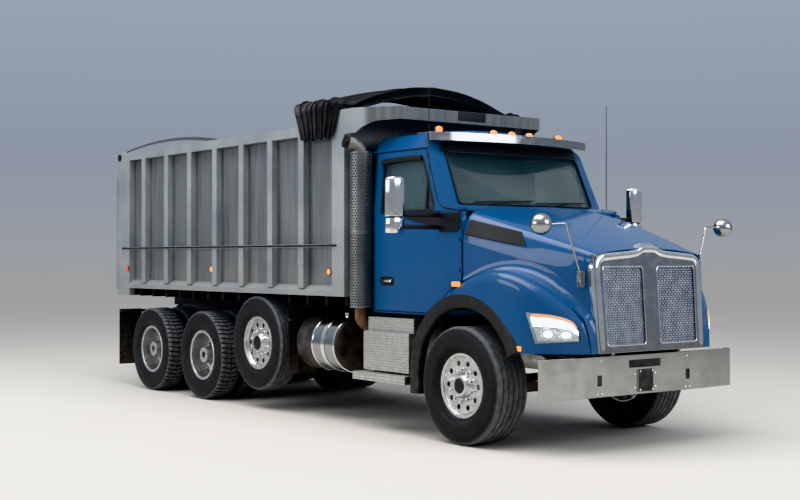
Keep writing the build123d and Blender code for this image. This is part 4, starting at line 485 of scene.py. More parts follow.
def rounded_box(low, high, radius, steps=3):
    """Box with round edges between two places from the axle: the octants of a sphere, pulled out to its corners."""
    low, high = spot(*low), spot(*high)
    low, high = np.minimum(low, high), np.maximum(low, high)
    quarter = np.linspace(0.0, math.pi / 2, steps + 1)
    turn = np.concatenate([quarter + k * math.pi / 2 for k in range(4)])
    lift = np.concatenate([quarter - math.pi / 2, quarter])[:, None]
    signs = [np.repeat(row, steps + 1) for row in ([1, -1, -1, 1], [1, 1, -1, -1], [-1, 1])]
    signs = stacked_up(signs[0][None], signs[1][None], signs[2][:, None])
    ball = stacked_up(np.cos(lift) * np.cos(turn), np.cos(lift) * np.sin(turn), np.sin(lift))
    body = (low + high) / 2 + signs * ((high - low) / 2 - radius) + radius * ball
    ends = [np.repeat(body[k : k + 1].mean(axis=1, keepdims=True), len(turn), axis=1) for k in (0, -1)]
    return grid(np.concatenate([ends[0], body, ends[1]]), closed_v=True)


def shell(points, thickness):
    """Sheet with a wall: the grid of points, a copy set back along its normals, and strips round the border."""
    normal = np.cross(np.gradient(points, axis=0), np.gradient(points, axis=1))
    normal /= np.linalg.norm(normal, axis=-1, keepdims=True) + 1e-12
    inner = points - thickness * normal
    rim = [np.concatenate([a[0, :-1], a[:-1, -1], a[-1, :0:-1], a[:0:-1, 0]]) for a in (points, inner)]
    return joined([grid(points), grid(inner[::-1]), grid(np.stack(rim), closed_v=True)])


def outward(points, side):
    """Grid of points whose normals turn outwards on either side of the truck."""
    return points if side > 0 else points[:, ::-1]


def layered(outline, levels, centre, order=(0, 1, 2), way=1):
    """Body of one outline: at each level the outline is scaled about its middle; a scale of 0 closes an end.
    The order says to which axes the outline's two directions and the levels go, the way to which side."""
    levels = np.array(levels, float) * (way, 1)
    flat = levels[:, None, 1:] * outline[None]
    rise = np.repeat(levels[:, :1], len(outline), axis=1)[..., None]
    local = np.concatenate([flat, rise], axis=-1)
    return grid(local[..., list(order)] + np.array(centre), closed_v=True)


def tubes(paths, across, radius, sides=4):
    """Wires along many paths: a small circle in two fixed directions at each point, closed at both ends."""
    angle = (np.arange(sides) + 0.5) / sides * 2 * math.pi
    first, second = np.array(across, float)
    section = radius * (np.cos(angle)[:, None] * first + np.sin(angle)[:, None] * second)
    body = paths[:, :, None] + section
    ends = [np.repeat(paths[:, k][:, None, None], sides, axis=2) for k in (0, -1)]
    body = np.concatenate([ends[0], body, ends[1]], axis=1)
    return joined([grid(rows, closed_v=True) for rows in body])


def piece(name, body, groups, sharp=35.0, replaces=()):
    """Object of several shapes: groups pair a material with its shapes. It rides on a body and hides the nodes it
    replaces.
    """
    shapes = [joined(shapes) for _, shapes in groups]
    points, faces = joined(shapes)
    mesh = bpy.data.meshes.new(name)
    mesh.from_pydata(points, [], faces)
    for material, _ in groups:
        mesh.materials.append(MATERIALS[material])
    indices = np.repeat(np.arange(len(groups)), [len(faces) for _, faces in shapes])
    mesh.polygons.foreach_set("material_index", indices.astype(np.int32))
    work = bmesh.new()
    work.from_mesh(mesh)
    bmesh.ops.remove_doubles(work, verts=work.verts, dist=0.00002)
    bmesh.ops.dissolve_degenerate(work, edges=work.edges, dist=0.00001)
    bmesh.ops.recalc_face_normals(work, faces=work.faces)
    work.to_mesh(mesh)
    work.free()
    mesh.polygons.foreach_set("use_smooth", np.ones(len(mesh.polygons), bool))
    mesh.set_sharp_from_angle(angle=math.radians(sharp))
    made = bpy.data.objects.new(name, mesh)
    bpy.context.scene.collection.objects.link(made)
    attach(made, body)
    if replaces:
        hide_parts(*replaces)
    return made


# Tyres and wheels

RIM_R = 0.286
DUAL_WIDTH = 0.279
WHEEL_FACES = {"front": 1.165, "drive_front": 0.985, "drive_rear": 0.985, "pusher": 1.150}
RIM_SET = {"front": 0.056, "drive_front": 0.039, "drive_rear": 0.039, "pusher": 0.039}
GROOVE_WALL = 0.0015
CROWN_DROP = 0.003
TREADS = {
    # lugs or not: grooves by their share of the width and half width, pitches, depth, phases within a pitch
    True: (((-0.25, 0.005), (0.0, 0.006), (0.25, 0.005)), 56, 0.016, (0.0, 0.5, 0.56, 0.78, 0.84)),
    False: ([(k * 0.155, 0.006) for k in (-2, -1, 0, 1, 2)], 60, 0.013, (0.0, 0.25, 0.5, 0.75)),
}
NUTS, NUT_CIRCLE_R = 10, 0.1425
TALL_NUT = ((0.0, 0.0), (0.0, 0.021), (0.004, 0.021), (0.008, 0.0175), (0.034, 0.0165), (0.043, 0.0125), (0.047, 0.0))
LOW_NUT = ((0.0, 0.0), (0.0, 0.021), (0.004, 0.021), (0.007, 0.0175), (0.022, 0.0165), (0.026, 0.012), (0.028, 0.0))
VALVE_STEM = ((0.225, 0.002), (0.228, 0.03), (0.235, 0.055))
RIM_LIP = ((0.0, 0.262), (0.006, 0.262), (0.012, 0.268), (0.013, 0.292), (0.009, 0.298), (0.0, 0.296))
HUB_REACH = {True: 0.055, False: 0.11}  # on single wheels and on duals
HUB = ((0.5, 0.088), (0.82, 0.081), (0.95, 0.064), (1.0, 0.04), (1.01, 0.0))  # share of the reach, radius


def tread_steps(width, grooves, depth):
    """Across a tread: pairs of places and depths that drop into each groove and rise out of it."""
    steps = [(-width / 2, 0.0)]
    for middle, half in grooves:
        steps += [(middle - half, 0.0), (middle - half + GROOVE_WALL, depth)]
        steps += [(middle + half - GROOVE_WALL, depth), (middle + half, 0.0)]
    steps.append((width / 2, 0.0))
    return np.array(steps)


def tyre(centre, radius, width, lugs):
    """Tyre about its axle. Its wall is an eased curve from bead to shoulder. On the tread the radius drops by the
    groove depth wherever an across-groove or, on a lug tyre, a lateral groove runs."""
    half, crown = width / 2, 0.78 * width / 2
    share_and_radius = (
        (0.70, RIM_R), (0.80, RIM_R + 0.006), (0.86, RIM_R + 0.035), (1.0, RIM_R + 0.07),
        (1.0, RIM_R + 0.42 * (radius - RIM_R)), (0.985, radius - 0.075), (0.93, radius - 0.045), (0.90, radius - 0.012),
    )
    wall = eased([(share * half, r) for share, r in share_and_radius] + [(crown, radius - CROWN_DROP)], 2)
    grooves, pitches, depth, phases = TREADS[lugs]
    steps = tread_steps(2 * crown, [(share * width, half_groove) for share, half_groove in grooves], depth)
    across = np.concatenate([wall[:-1, 0] * -1, steps[:, 0], wall[:-1, 0][::-1], [0.0]])
    height = np.concatenate([wall[:-1, 1], radius - steps[:, 1] - CROWN_DROP, wall[:-1, 1][::-1], [RIM_R]])
    angle = ((np.arange(pitches)[:, None] + phases) / pitches * 2 * math.pi).ravel()
    shift = 0.35 * np.abs(across) / half * (2 * math.pi / pitches) * (1.0 if lugs else 0.0)
    theta = angle[:, None] + shift
    if lugs:
        cut = np.tile([0.0, 0.0, 1.0, 1.0, 0.0], pitches)[:, None]
        on_tread = (np.abs(across) <= 0.93 * half) & (height > radius - 0.046)
        drop = cut * on_tread * np.clip(depth - (radius - CROWN_DROP - height), 0.0, depth)
    else:
        notch = np.tile([0.0, 1.0, 0.0, 1.0], pitches)[:, None]
        drop = notch * 0.006 * (np.abs(np.abs(across) - 0.9 * half) < 0.06 * half)
    ring = height - drop
    body = stacked_up(ring * np.cos(theta), across, ring * np.sin(theta))
    return grid(body + np.array(centre), closed_u=True, closed_v=True)


def mark_wear(made, centre, radius):
    """Attribute worn on each point: 0 on the tyre's wall, 1 on its tread, by the distance from the axle."""
    co = np.empty(len(made.data.vertices) * 3)
    made.data.vertices.foreach_get("co", co)
    co = co.reshape(-1, 3) - np.array(centre)
    reach = np.hypot(co[:, 0], co[:, 2])
    worn = np.clip((reach - radius + 0.035) / 0.025, 0.0, 1.0) * 0.9 + 0.06
    made.data.attributes.new("worn", "FLOAT", "POINT").data.foreach_set("value", worn.astype(np.float32))


def wheel_trim(centre, face, side, single):
    """Nuts on their circle, and the hub's stepped cap, outside the disc's face."""
    x, _, z = centre
    nuts = []
    for k in range(NUTS):
        angle = (k + 0.5) * 2 * math.pi / NUTS
        at = (x + NUT_CIRCLE_R * math.cos(angle), face, z + NUT_CIRCLE_R * math.sin(angle))
        nuts.append(lathe(TALL_NUT if single else LOW_NUT, at, segments=12, way=side))
    cap = [(-0.03, 0.0), (-0.03, 0.092)] + [(HUB_REACH[single] * share, r) for share, r in HUB]
    return nuts, lathe(cap, (x, face, z), segments=40, way=side)


class TRUCK_OT_tyres(bpy.types.Operator):
    """Fit treaded tyres on all wheels: ribbed ones in front, lugged ones behind."""

    bl_idname = "truck.tyres"
    bl_label = "Tyres"

    def execute(self, context):
        for wheel in WHEELS:
            low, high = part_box(f"tyre_{wheel}")
            x, _, z = centre = PINS[f"{wheel}_spin"]
            radius = (high.z - low.z) / 2
            if wheel.startswith("drive"):
                middles = [low.y + DUAL_WIDTH / 2, high.y - DUAL_WIDTH / 2]
                shapes = [tyre((x, middle, z), radius, DUAL_WIDTH, True) for middle in middles]
            else:
                shapes = [tyre((x, (low.y + high.y) / 2, z), radius, high.y - low.y, False)]
            groups = [("tyre_rubber", shapes)]
            made = piece(f"tread_{wheel}", f"{wheel}_wheel", groups, 30.0, [f"tyre_{wheel}"])
            mark_wear(made, centre, radius)
        return {"FINISHED"}


class TRUCK_OT_wheels(bpy.types.Operator):
    """Add nuts, hub caps, rim lips and valve stems to the wheels."""

    bl_idname = "truck.wheels"
    bl_label = "Wheel trim"

    def execute(self, context):
        for wheel in WHEELS:
            kind, word = wheel.rsplit("_", 1)
            side = 1 if word == "left" else -1
            x, _, z = centre = PINS[f"{wheel}_spin"]
            face = side * WHEEL_FACES[kind]
            dual = kind.startswith("drive")
            nuts, cap = wheel_trim(centre, face, side, not dual)
            low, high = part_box(f"tyre_{wheel}")
            rim_edge = side * (abs(high.y if side > 0 else low.y) - RIM_SET[kind])
            ring = lathe(RIM_LIP, (x, rim_edge, z), segments=96, closed=True, way=side)
            stem = [(x + ahead, face + side * out, z) for ahead, out in VALVE_STEM]
            groups = [
                ("plated", nuts + [sweep(stem, circle(0.004, 8))]),
                ("wheel_alloy", [ring]),
                ("plated" if dual else "seal_rubber", [cap]),
            ]
            piece(f"trim_{wheel}", f"{wheel}_wheel", groups)
        return {"FINISHED"}


# Hood: one skin over the engine and both wheels. Distances along the truck are from the front axle

HOOD_REAR_X = -0.152
HOOD_ROWS = (
    # X, half width low, half width and height at the shoulder, height at the crown
    (HOOD_REAR_X, 1.040, 0.955, 2.105, 2.172),
    (0.480, 0.900, 0.842, 1.925, 1.990),
    (1.158, 0.676, 0.690, 1.712, 1.768),
)
SHOULDER_DROP = 0.19
FENDER_TOP = ((-0.56, 1.07), (-0.09, 1.465), (0.376, 1.592), (0.80, 1.475), (1.12, 1.15))
FENDER_REAR_X = -0.56
FENDER_FOOT = 0.868
FENDER_HALF = 1.192
FENDER_SEAM_Y = 1.058
ARCH = (0.010, 0.600)
ARCH_R = 0.655
NOSE_X = 1.158
NOSE_TURN_X = 1.09
LEAN, LEAN_FROM_X, LEAN_TOP, LEAN_HEIGHT = 0.037, 0.6, 1.715, 0.847
VENT = ((-0.105, 2.035), (0.44, 1.915), (0.515, 1.785), (-0.125, 1.895))
FLARE_R, FLARE_Y = (ARCH_R + 0.747) / 2, 1.149
FLARE_TAIL_Z = (0.58, 0.41)


def hood_row(x):
    """Hood sizes at places from the axle, each a parabola through the three rows of the table."""
    table = np.array(HOOD_ROWS)
    return [np.polyval(np.polyfit(table[:, 0], table[:, k], 2), x) for k in (1, 2, 3, 4)]


def fender_top(x):
    """Height of the fender's crest: a quartic through five points, then a round drop to the foot at the nose."""
    table = np.array(FENDER_TOP)
    crest = np.polyval(np.polyfit(table[:, 0], table[:, 1], 4), np.minimum(x, NOSE_TURN_X))
    fall = np.clip((x - NOSE_TURN_X) / (NOSE_X - NOSE_TURN_X), 0.0, 1.0)
    return FENDER_FOOT + (crest - FENDER_FOOT) * np.sqrt(np.clip(1.0 - fall**2, 0.0, 1.0))


def fender_half(x):
    """Half width over the fenders: straight to 0.5 m ahead of the axle, then drawn in by a power of the distance."""
    return FENDER_HALF - 1.12 * np.clip(x - 0.5, 0.0, None) ** 2.35


def arch_height(x):
    """Lower edge of the fender: the wheel arch's circle, or the straight foot outside it."""
    inside = np.clip(ARCH_R**2 - (x - ARCH[0]) ** 2, 0.0, None)
    return np.maximum(ARCH[1] + np.sqrt(inside), FENDER_FOOT)


def leaned(x, z):
    """Place along the truck after the front has been leant back to the grille's slope."""
    share = np.clip((x - LEAN_FROM_X) / (NOSE_X - LEAN_FROM_X), 0.0, 1.0)
    return AXLE_X + x + share * LEAN * np.clip((LEAN_TOP - z) / LEAN_HEIGHT, 0.0, 1.0)


def corner(before, at, after, radius, steps):
    """Rounded corner: a quadratic curve from a radius before the corner to a radius after it."""
    back, on = before - at, after - at
    near = at + back * np.minimum(1.0, radius / (np.linalg.norm(back, axis=-1, keepdims=True) + 1e-9))
    far = at + on * np.minimum(1.0, radius / (np.linalg.norm(on, axis=-1, keepdims=True) + 1e-9))
    t = np.linspace(0.0, 1.0, steps)[:, None, None]
    return (1 - t) ** 2 * near + 2 * t * (1 - t) * at + t**2 * far


def hood_section(x):
    """Half section of the hood at each place: crown arc, shoulder, side wall, valley, fender crest and outer face."""
    low, shoulder, shoulder_z, crown = hood_row(x)
    top, half, foot = fender_top(x), np.maximum(fender_half(x), low + 0.002), arch_height(x)
    s = np.linspace(0.0, 0.9, 12)[:, None]
    rows = [np.stack([s * shoulder, crown - (crown - shoulder_z) * s**2], axis=-1)]
    wall_z = shoulder_z - SHOULDER_DROP
    valley_z = np.maximum(np.minimum(top - 0.045, wall_z - 0.05), FENDER_FOOT)
    ends = (
        (0.9 * shoulder, crown - (crown - shoulder_z) * 0.81),
        (shoulder, shoulder_z),
        (low, wall_z),
        (low, valley_z),
        (half, top),
        (half, np.minimum(foot, top)),
    )
    points = [stacked_up(y, z) for y, z in ends]
    for k, radius, steps in ((1, 0.09, 7), (2, 0.09, 5), (3, 0.12, 8), (4, 0.13, 10)):
        rows.append(corner(points[k - 1], points[k], points[k + 1], radius, steps))
    t = np.linspace(0.0, 1.0, 8)[1:, None, None]
    rows.append(rows[-1][-1] * (1 - t) + points[5] * t)
    return np.concatenate(rows)


def hood_skin():
    """Hood surface: the half sections of all places, mirrored across the middle and leant back at the front."""
    reach = math.sqrt(ARCH_R**2 - (FENDER_FOOT - ARCH[1]) ** 2)
    arch = ARCH[0] + reach * np.sin(np.linspace(-0.24, 1.0, 34) * math.pi / 2)
    nose = 1.08 + 0.078 * np.sin(np.linspace(0.05, 1, 14) * math.pi / 2)
    x = np.unique(np.concatenate([[HOOD_REAR_X], arch[arch > HOOD_REAR_X], np.linspace(0.615, 1.08, 26), nose]))
    half = hood_section(x).transpose(1, 0, 2)
    y = np.concatenate([-half[:, :0:-1, 0], half[:, :, 0]], axis=1)
    z = np.concatenate([half[:, :0:-1, 1], half[:, :, 1]], axis=1)
    return np.stack([leaned(x[:, None], z), y, z], axis=-1)


def fender_tail(side):
    """Fender behind the hood's seam, outside the cab: crest, round edge and outer face down to the arch."""
    arch = np.linspace(FENDER_REAR_X, HOOD_REAR_X, 22)
    foot = arch_height(arch)
    top = np.maximum(fender_top(arch), foot + 0.004)
    corners = [stacked_up(y, z) for y, z in ((FENDER_SEAM_Y, top - 0.02), (FENDER_HALF, top), (FENDER_HALF, foot))]
    round_edge = corner(*corners, 0.1, 10)
    rows = np.concatenate([corners[0][None], round_edge, corners[2][None]]).transpose(1, 0, 2)
    return outward(stacked_up(AXLE_X + arch[:, None], side * rows[..., 0], rows[..., 1]), side)


def wall_y(x, z):
    """Half width of the hood's side at a place and height between the shoulder and the valley."""
    low, shoulder, shoulder_z, _ = hood_row(x)
    return shoulder + (low - shoulder) * np.clip((shoulder_z - z) / SHOULDER_DROP, 0.0, 1.0)


def fender_y(x, z):
    """Half width of the fender's outer face at a place and height, drawn in near its crest."""
    near = np.clip((z - (fender_top(x) - 0.13)) / 0.13, 0.0, 1.0)
    return fender_half(x) - 0.10 * near**2.4


def vent(side):
    """Vent panel on the hood's side: bilinear between its four X, Z corners, 10 mm outside the wall."""
    s = np.linspace(0.0, 1.0, 40)[:, None, None]
    t = np.linspace(0.0, 1.0, 10)[None, :, None]
    a, b, c, d = [np.array(p) for p in VENT]
    x, z = np.moveaxis((1 - s) * ((1 - t) * a + t * d) + s * ((1 - t) * b + t * c), -1, 0)
    return outward(np.stack([leaned(x, z), side * (wall_y(x, z) + 0.010), z], axis=-1), side)


def flare(side):
    """Arch flare: a rounded band carried round the arch's circle and straight down behind the wheel."""
    turn = np.linspace(math.radians(21.0), math.pi, 60)
    arc = np.stack([ARCH[0] + FLARE_R * np.cos(turn), ARCH[1] + FLARE_R * np.sin(turn)], axis=-1)
    tail = stacked_up(ARCH[0] - FLARE_R + 0.006, np.linspace(*FLARE_TAIL_Z, 8))
    x, z = np.concatenate([arc, tail]).T
    return sweep(stacked_up(AXLE_X + x, side * FLARE_Y, z), rounded_rectangle(0.138, 0.088, 0.02), up=(0.0, 1.0, 0.0))


class TRUCK_OT_hood(bpy.types.Operator):
    """Lay the hood's skin with its fenders, vents and arch flares."""

    bl_idname = "truck.hood"
    bl_label = "Hood"

    def execute(self, context):
        wall = context.scene.truck_sizes.skin
        skins = [shell(hood_skin(), wall)] + [shell(fender_tail(side), wall) for _, side in SIDES]
        piece("hood_skin", "hood", [("blue_enamel", skins)], 50.0, ["hood_shell"])
        trims = [shell(vent(side), 0.014) for _, side in SIDES] + [flare(side) for _, side in SIDES]
        piece("hood_trims", "hood", [("moulded_black", trims)], 40.0, ["hood_trim"])
        return {"FINISHED"}


# Grille and headlamps

GRILLE_X, GRILLE_SLOPE = 1.215, 0.0708
MESH_Z, MESH_HALF, MESH_WIDENS = (0.930, 1.608), 0.580, 0.015
MESH_INNER = 0.092
MESH_SET = 0.022
BACK_SET = 0.046
GRILLE_EDGE = (
    # Y and Z of half the surround's outline
    (0.0, 1.800), (0.095, 1.800), (0.170, 1.757), (0.420, 1.740), (0.698, 1.717), (0.690, 1.420), (0.675, 0.870),
)
ROLLED = (
    # ahead of the face, inwards from the edge
    (-0.062, -0.010), (-0.040, -0.011), (-0.020, -0.008), (-0.005, 0.000), (0.006, 0.012), (0.011, 0.028),
    (0.011, 0.044), (0.007, 0.058), (0.001, 0.068),
)
LAMP_UPPER = ((0.787, 1.220), (0.900, 1.214), (1.005, 1.198), (1.078, 1.152), (1.112, 1.060))
LAMP_LOWER = ((0.858, 0.957), (0.940, 0.962), (1.030, 0.970), (1.112, 0.977))
LAMP_BOWLS = ((0.935, 1.036, 1.0), (1.040, 1.030, 0.92))  # X, Z and scale
BOWL_RING = ((0.052, 0.003), (0.052, 0.009), (0.048, 0.012), (0.043, 0.009), (0.043, 0.003))
BOWL_DOME = ((0.0, 0.003), (0.042, 0.003), (0.041, 0.006), (0.032, 0.010), (0.018, 0.0125), (0.0, 0.0135))


def grille_x(z):
    """Place of the grille's leaning face at a height."""
    return AXLE_X + GRILLE_X - GRILLE_SLOPE * (z - FENDER_FOOT)


def mesh_half(z):
    """Half width of the mesh at a height; it widens a little upwards."""
    return MESH_HALF + MESH_WIDENS * (z - MESH_Z[0]) / (MESH_Z[1] - MESH_Z[0])


def woven(side, pitch, wire):
    """Crimped wire mesh: each wire is a cosine with a half period of one pitch, and the uprights and the level
    wires pass each crossing on opposite sides."""
    low, high = MESH_Z
    rows = round((high - low) / pitch)
    columns = round((mesh_half(low) - MESH_INNER) / pitch)
    z = np.linspace(low - 0.006, high + 0.006, 2 * rows + 3)
    share = (np.arange(columns) + 0.5) / columns
    beat = (z - low) / (high - low) * rows - 0.5
    y = MESH_INNER + share[:, None] * (mesh_half(z) - MESH_INNER)
    wave = wire * np.cos(math.pi * (beat + np.arange(columns)[:, None]))
    upright = stacked_up(grille_x(z) - MESH_SET + wave, side * y, z)
    level_z = (low + (np.arange(rows) + 0.5) / rows * (high - low))[:, None]
    s = np.linspace(-0.5 / columns, 1 + 0.5 / columns, 2 * columns + 5)
    y = MESH_INNER + s * (mesh_half(level_z) - MESH_INNER)
    wave = -wire * np.cos(math.pi * (s * columns - 0.5 + np.arange(rows)[:, None]))
    level = stacked_up(grille_x(level_z) - MESH_SET + wave, side * y, level_z)
    return [tubes(upright, ((0, 1, 0), (1, 0, 0)), wire), tubes(level, ((0, 0, 1), (1, 0, 0)), wire)]


def mesh_bead(side):
    """Bright bead round one half of the mesh: a circle carried round its rounded outline on the leaning face."""
    z = np.array([MESH_Z[0], MESH_Z[0], MESH_Z[1], MESH_Z[1]])
    corners = np.stack([[MESH_INNER, mesh_half(z[1]), mesh_half(z[2]), MESH_INNER], z], axis=-1)
    middle = (corners[:1] + corners[3:]) / 2
    y, z = eased(resampled(np.concatenate([middle, corners, middle]), 60), 1).T
    return sweep(stacked_up(grille_x(z) - 0.002, side * y, z), circle(0.0055, 8), up=(1.0, 0.0, 0.0))


def grille_crown():
    """Rolled edge of the surround: a rounded profile carried along the outline, inwards along its normal."""
    half = eased(GRILLE_EDGE, 2)
    edge = resampled(np.concatenate([half[:0:-1] * np.array([-1.0, 1.0]), half]), 140)
    run = unit(np.gradient(edge, axis=0))
    profile = resampled(eased(ROLLED, 1), 16)
    y, z = np.moveaxis(edge[:, None] + profile[None, :, 1:] * stacked_up(run[:, 1], -run[:, 0])[:, None], -1, 0)
    ahead = np.maximum(profile[:, 0], 0.0) * np.clip((z - 0.87) / 0.25, 0.0, 1.0)
    x = grille_x(z) + np.minimum(profile[:, 0], 0.0) + ahead - 0.001
    return shell(np.stack([x, y, z], axis=-1)[:, ::-1], 0.003)


def grille_back(side):
    """Dark sheet behind one half of the mesh."""
    z = np.linspace(MESH_Z[0] - 0.004, MESH_Z[1] + 0.004, 8)[:, None]
    y = MESH_INNER - 0.004 + np.linspace(0.0, 1.0, 6) * (mesh_half(z) + 0.008 - MESH_INNER)
    return shell(outward(stacked_up(grille_x(z) - BACK_SET, side * y, z), -side), 0.003)


def lamp_panel(side, across, down, lift, thickness, steps=(30, 12)):
    """Part of the headlamp, laid on the fender: shares across and down between its upper and lower edges."""
    s, t = np.linspace(*across, steps[0]), np.linspace(*down, steps[1])[None, :, None]
    edges = [resampled(eased(edge, 2), 101) for edge in (LAMP_UPPER, LAMP_LOWER)]
    upper, lower = [
        np.stack([np.interp(s * 100, np.arange(101), edge[:, k]) for k in (0, 1)], axis=-1)[:, None] for edge in edges
    ]
    x, z = np.moveaxis((1 - t) * upper + t * lower, -1, 0)
    points = np.stack([leaned(x, z), side * (fender_y(x, z) + lift), z], axis=-1)
    return shell(outward(points, side), thickness)


def lamp_round(side, x, z, profile, scale, closed=False):
    """Round part of the headlamp: a profile of radius and height, turned and laid on the fender."""
    angle = np.linspace(0.0, 2 * math.pi, 32, endpoint=False)
    radius, height = np.array([(r * scale, h) for r, h in profile], float).T[:, :, None]
    px, pz = x + radius * np.cos(angle), z + radius * np.sin(angle)
    y = side * (fender_y(px, pz) + height)
    return grid(np.stack([leaned(px, pz), y, pz], axis=-1), closed_u=closed, closed_v=True)


class TRUCK_OT_grille(bpy.types.Operator):
    """Weave the grille's wire mesh and fit the bright bead and the rolled edge round it."""

    bl_idname = "truck.grille"
    bl_label = "Grille"

    def execute(self, context):
        sizes = context.scene.truck_sizes
        wires = [shape for _, side in SIDES for shape in woven(side, sizes.mesh_pitch, sizes.mesh_wire)]
        bright = [mesh_bead(side) for _, side in SIDES] + [grille_crown()]
        backs = [grille_back(side) for _, side in SIDES]
        groups = [("woven_wire", wires), ("plated", bright), ("chassis_black", backs)]
        piece("grille_weave", "hood", groups, 60.0, ["grille_mesh"])
        return {"FINISHED"}


class TRUCK_OT_headlamps(bpy.types.Operator):
    """Fit the headlamps: housing, reflector, bowls, turn strip and clear cover."""

    bl_idname = "truck.headlamps"
    bl_label = "Headlamps"

    def execute(self, context):
        dark, silver, rings, lenses, amber, covers, marks = [[] for _ in range(7)]
        for _, side in SIDES:
            dark.append(lamp_panel(side, (0.0, 1.0), (0.0, 1.0), 0.001, 0.03))
            silver.append(lamp_panel(side, (0.05, 0.96), (0.50, 0.93), 0.004, 0.003))
            lenses.append(lamp_panel(side, (0.05, 0.97), (0.14, 0.46), 0.009, 0.006))
            amber.append(lamp_panel(side, (0.08, 0.90), (0.05, 0.115), 0.008, 0.005))
            for x, z, scale in LAMP_BOWLS:
                rings.append(lamp_round(side, x, z, BOWL_RING, scale, closed=True))
                lenses.append(lamp_round(side, x, z, BOWL_DOME, scale * 0.72))
            covers.append(lamp_panel(side, (0.0, 1.0), (0.0, 1.0), 0.0165, 0.003, (44, 18)))
            marks.append(rounded_box((-0.124, side * 1.186, 1.424), (-0.014, side * 1.203, 1.468), 0.008))
            marks.append(rounded_box((0.660, side * 1.150, 0.884), (0.750, side * 1.172, 0.928), 0.010))
        groups = [
            ("moulded_black", dark),
            ("reflector", silver),
            ("plated", rings),
            ("white_lens", lenses),
            ("amber_lens", amber),
        ]
        piece("headlamp_units", "hood", groups, 40.0, ["headlamps"])
        piece("headlamp_covers", "hood", [("lamp_cover", covers)], 40.0)
        piece("fender_lamps", "hood", [("amber_lens", marks)])
        return {"FINISHED"}


# Cab

CAB_HALF, CAB_LEAN = 1.050, 0.045
BELT_Z, BELT_TO_DRIP = 2.131, 0.604
GUTTER_Z = 2.740
SCREEN_R, SCREEN_SLOPE = 3.963, 0.4566
SCREEN_X, SCREEN_Z = -0.290, 2.175
SCREEN_FOOT, SCREEN_HEAD = (0.884, 2.190), (0.870, 2.694)
DOOR_LINE = (
    (-1.500, 1.300), (-1.500, 2.725), (-0.735, 2.725), (-0.508, 2.205), (-0.438, 2.151), (-0.160, 2.111),
    (-0.160, 1.480), (-0.270, 1.425), (-0.630, 1.164), (-1.500, 1.164), (-1.500, 1.300),
)
WINDOW_LINE = (
    (-1.39, 2.400), (-1.39, 2.650), (-0.775, 2.650), (-0.573, 2.205), (-0.573, 2.131), (-1.39, 2.131), (-1.39, 2.400),
)
BAR_LINE = ((-0.690, 2.131), (-0.690, 2.26), (-0.690, 2.40), (-0.690, 2.455))
SHADE_LINE = ((-1.42, 2.622), (-1.30, 2.640), (-1.10, 2.646), (-0.90, 2.646), (-0.79, 2.640))
CUP_LEVELS = ((0.0, 0.0), (0.0, 1.0), (0.006, 1.0), (0.009, 0.94), (0.005, 0.86), (0.004, 0.0))
AHEAD, ACROSS = (1.0, 0.0, 0.0), (0.0, 1.0, 0.0)


def screen_x(y, z):
    """Place of the screen: an upright cylinder of 3.96 m radius, sheared back as it rises."""
    return AXLE_X + SCREEN_X - (SCREEN_R - np.sqrt(SCREEN_R**2 - y**2)) - SCREEN_SLOPE * (z - SCREEN_Z)


def side_y(z):
    """Half width of the cab: straight up to the belt, then leaning in to the drip."""
    return CAB_HALF - CAB_LEAN * np.clip((z - BELT_Z) / BELT_TO_DRIP, 0.0, 1.0)


def on_screen(path, lift):
    """Path of Y, Z points laid on the screen, a lift ahead of it."""
    y, z = np.array(path, float).T
    return stacked_up(screen_x(y, z) + lift, y, z)


def on_side(path, side, lift):
    """Path of X, Z points laid on the cab's side, a lift outside it."""
    x, z = np.array(path, float).T
    return stacked_up(AXLE_X + x, side * (side_y(z) + lift), z)


def side_strip(path, side, lift, section):
    """Section carried along a path on the cab's side."""
    return sweep(on_side(path, side, lift), section, up=ACROSS)


def screen_band(z_low, z_high, half_low, half_high, lift, thickness=0.004):
    """Band of the screen between two heights."""
    t = np.linspace(0.0, 1.0, 6)[:, None]
    z = z_low + t * (z_high - z_low)
    y = np.linspace(-1.0, 1.0, 41) * (half_low + t * (half_high - half_low))
    return shell(stacked_up(screen_x(y, z) + lift, y, z)[::-1], thickness)


def wiper(y_pivot, reach, blade):
    """Wiper: a tapered arm from its pivot on the cowl to the blade, and the blade along the screen's foot."""
    arm = on_screen([(y_pivot, 2.176), (y_pivot + 0.25 * reach, 2.196), (y_pivot + reach, 2.225)], 0.024)
    edge = on_screen(stacked_up(y_pivot + np.linspace(*blade, 12), np.linspace(2.212, 2.236, 12)), 0.012)
    return [
        sweep(arm, rounded_rectangle(0.012, 0.008, 0.003), up=AHEAD),
        sweep(edge, rounded_rectangle(0.010, 0.018, 0.003), up=AHEAD),
        lathe([(-0.03, 0.0), (-0.03, 0.018), (0.008, 0.016), (0.014, 0.0)], arm[0], axis="X", segments=16),
    ]


def door_dip(side):
    """Dark dip of the door's belt below the window: a sheet whose lower edge falls as it runs forward."""
    t, r = np.linspace(0.0, 1.0, 12)[:, None], np.linspace(0.0, 1.0, 5)
    z = 2.126 * (1 - r) + (2.075 - 0.115 * t**0.8) * r
    return shell(outward(stacked_up(AXLE_X - 1.02 + 0.55 * t, side * (side_y(z) + 0.004), z), side), 0.003)


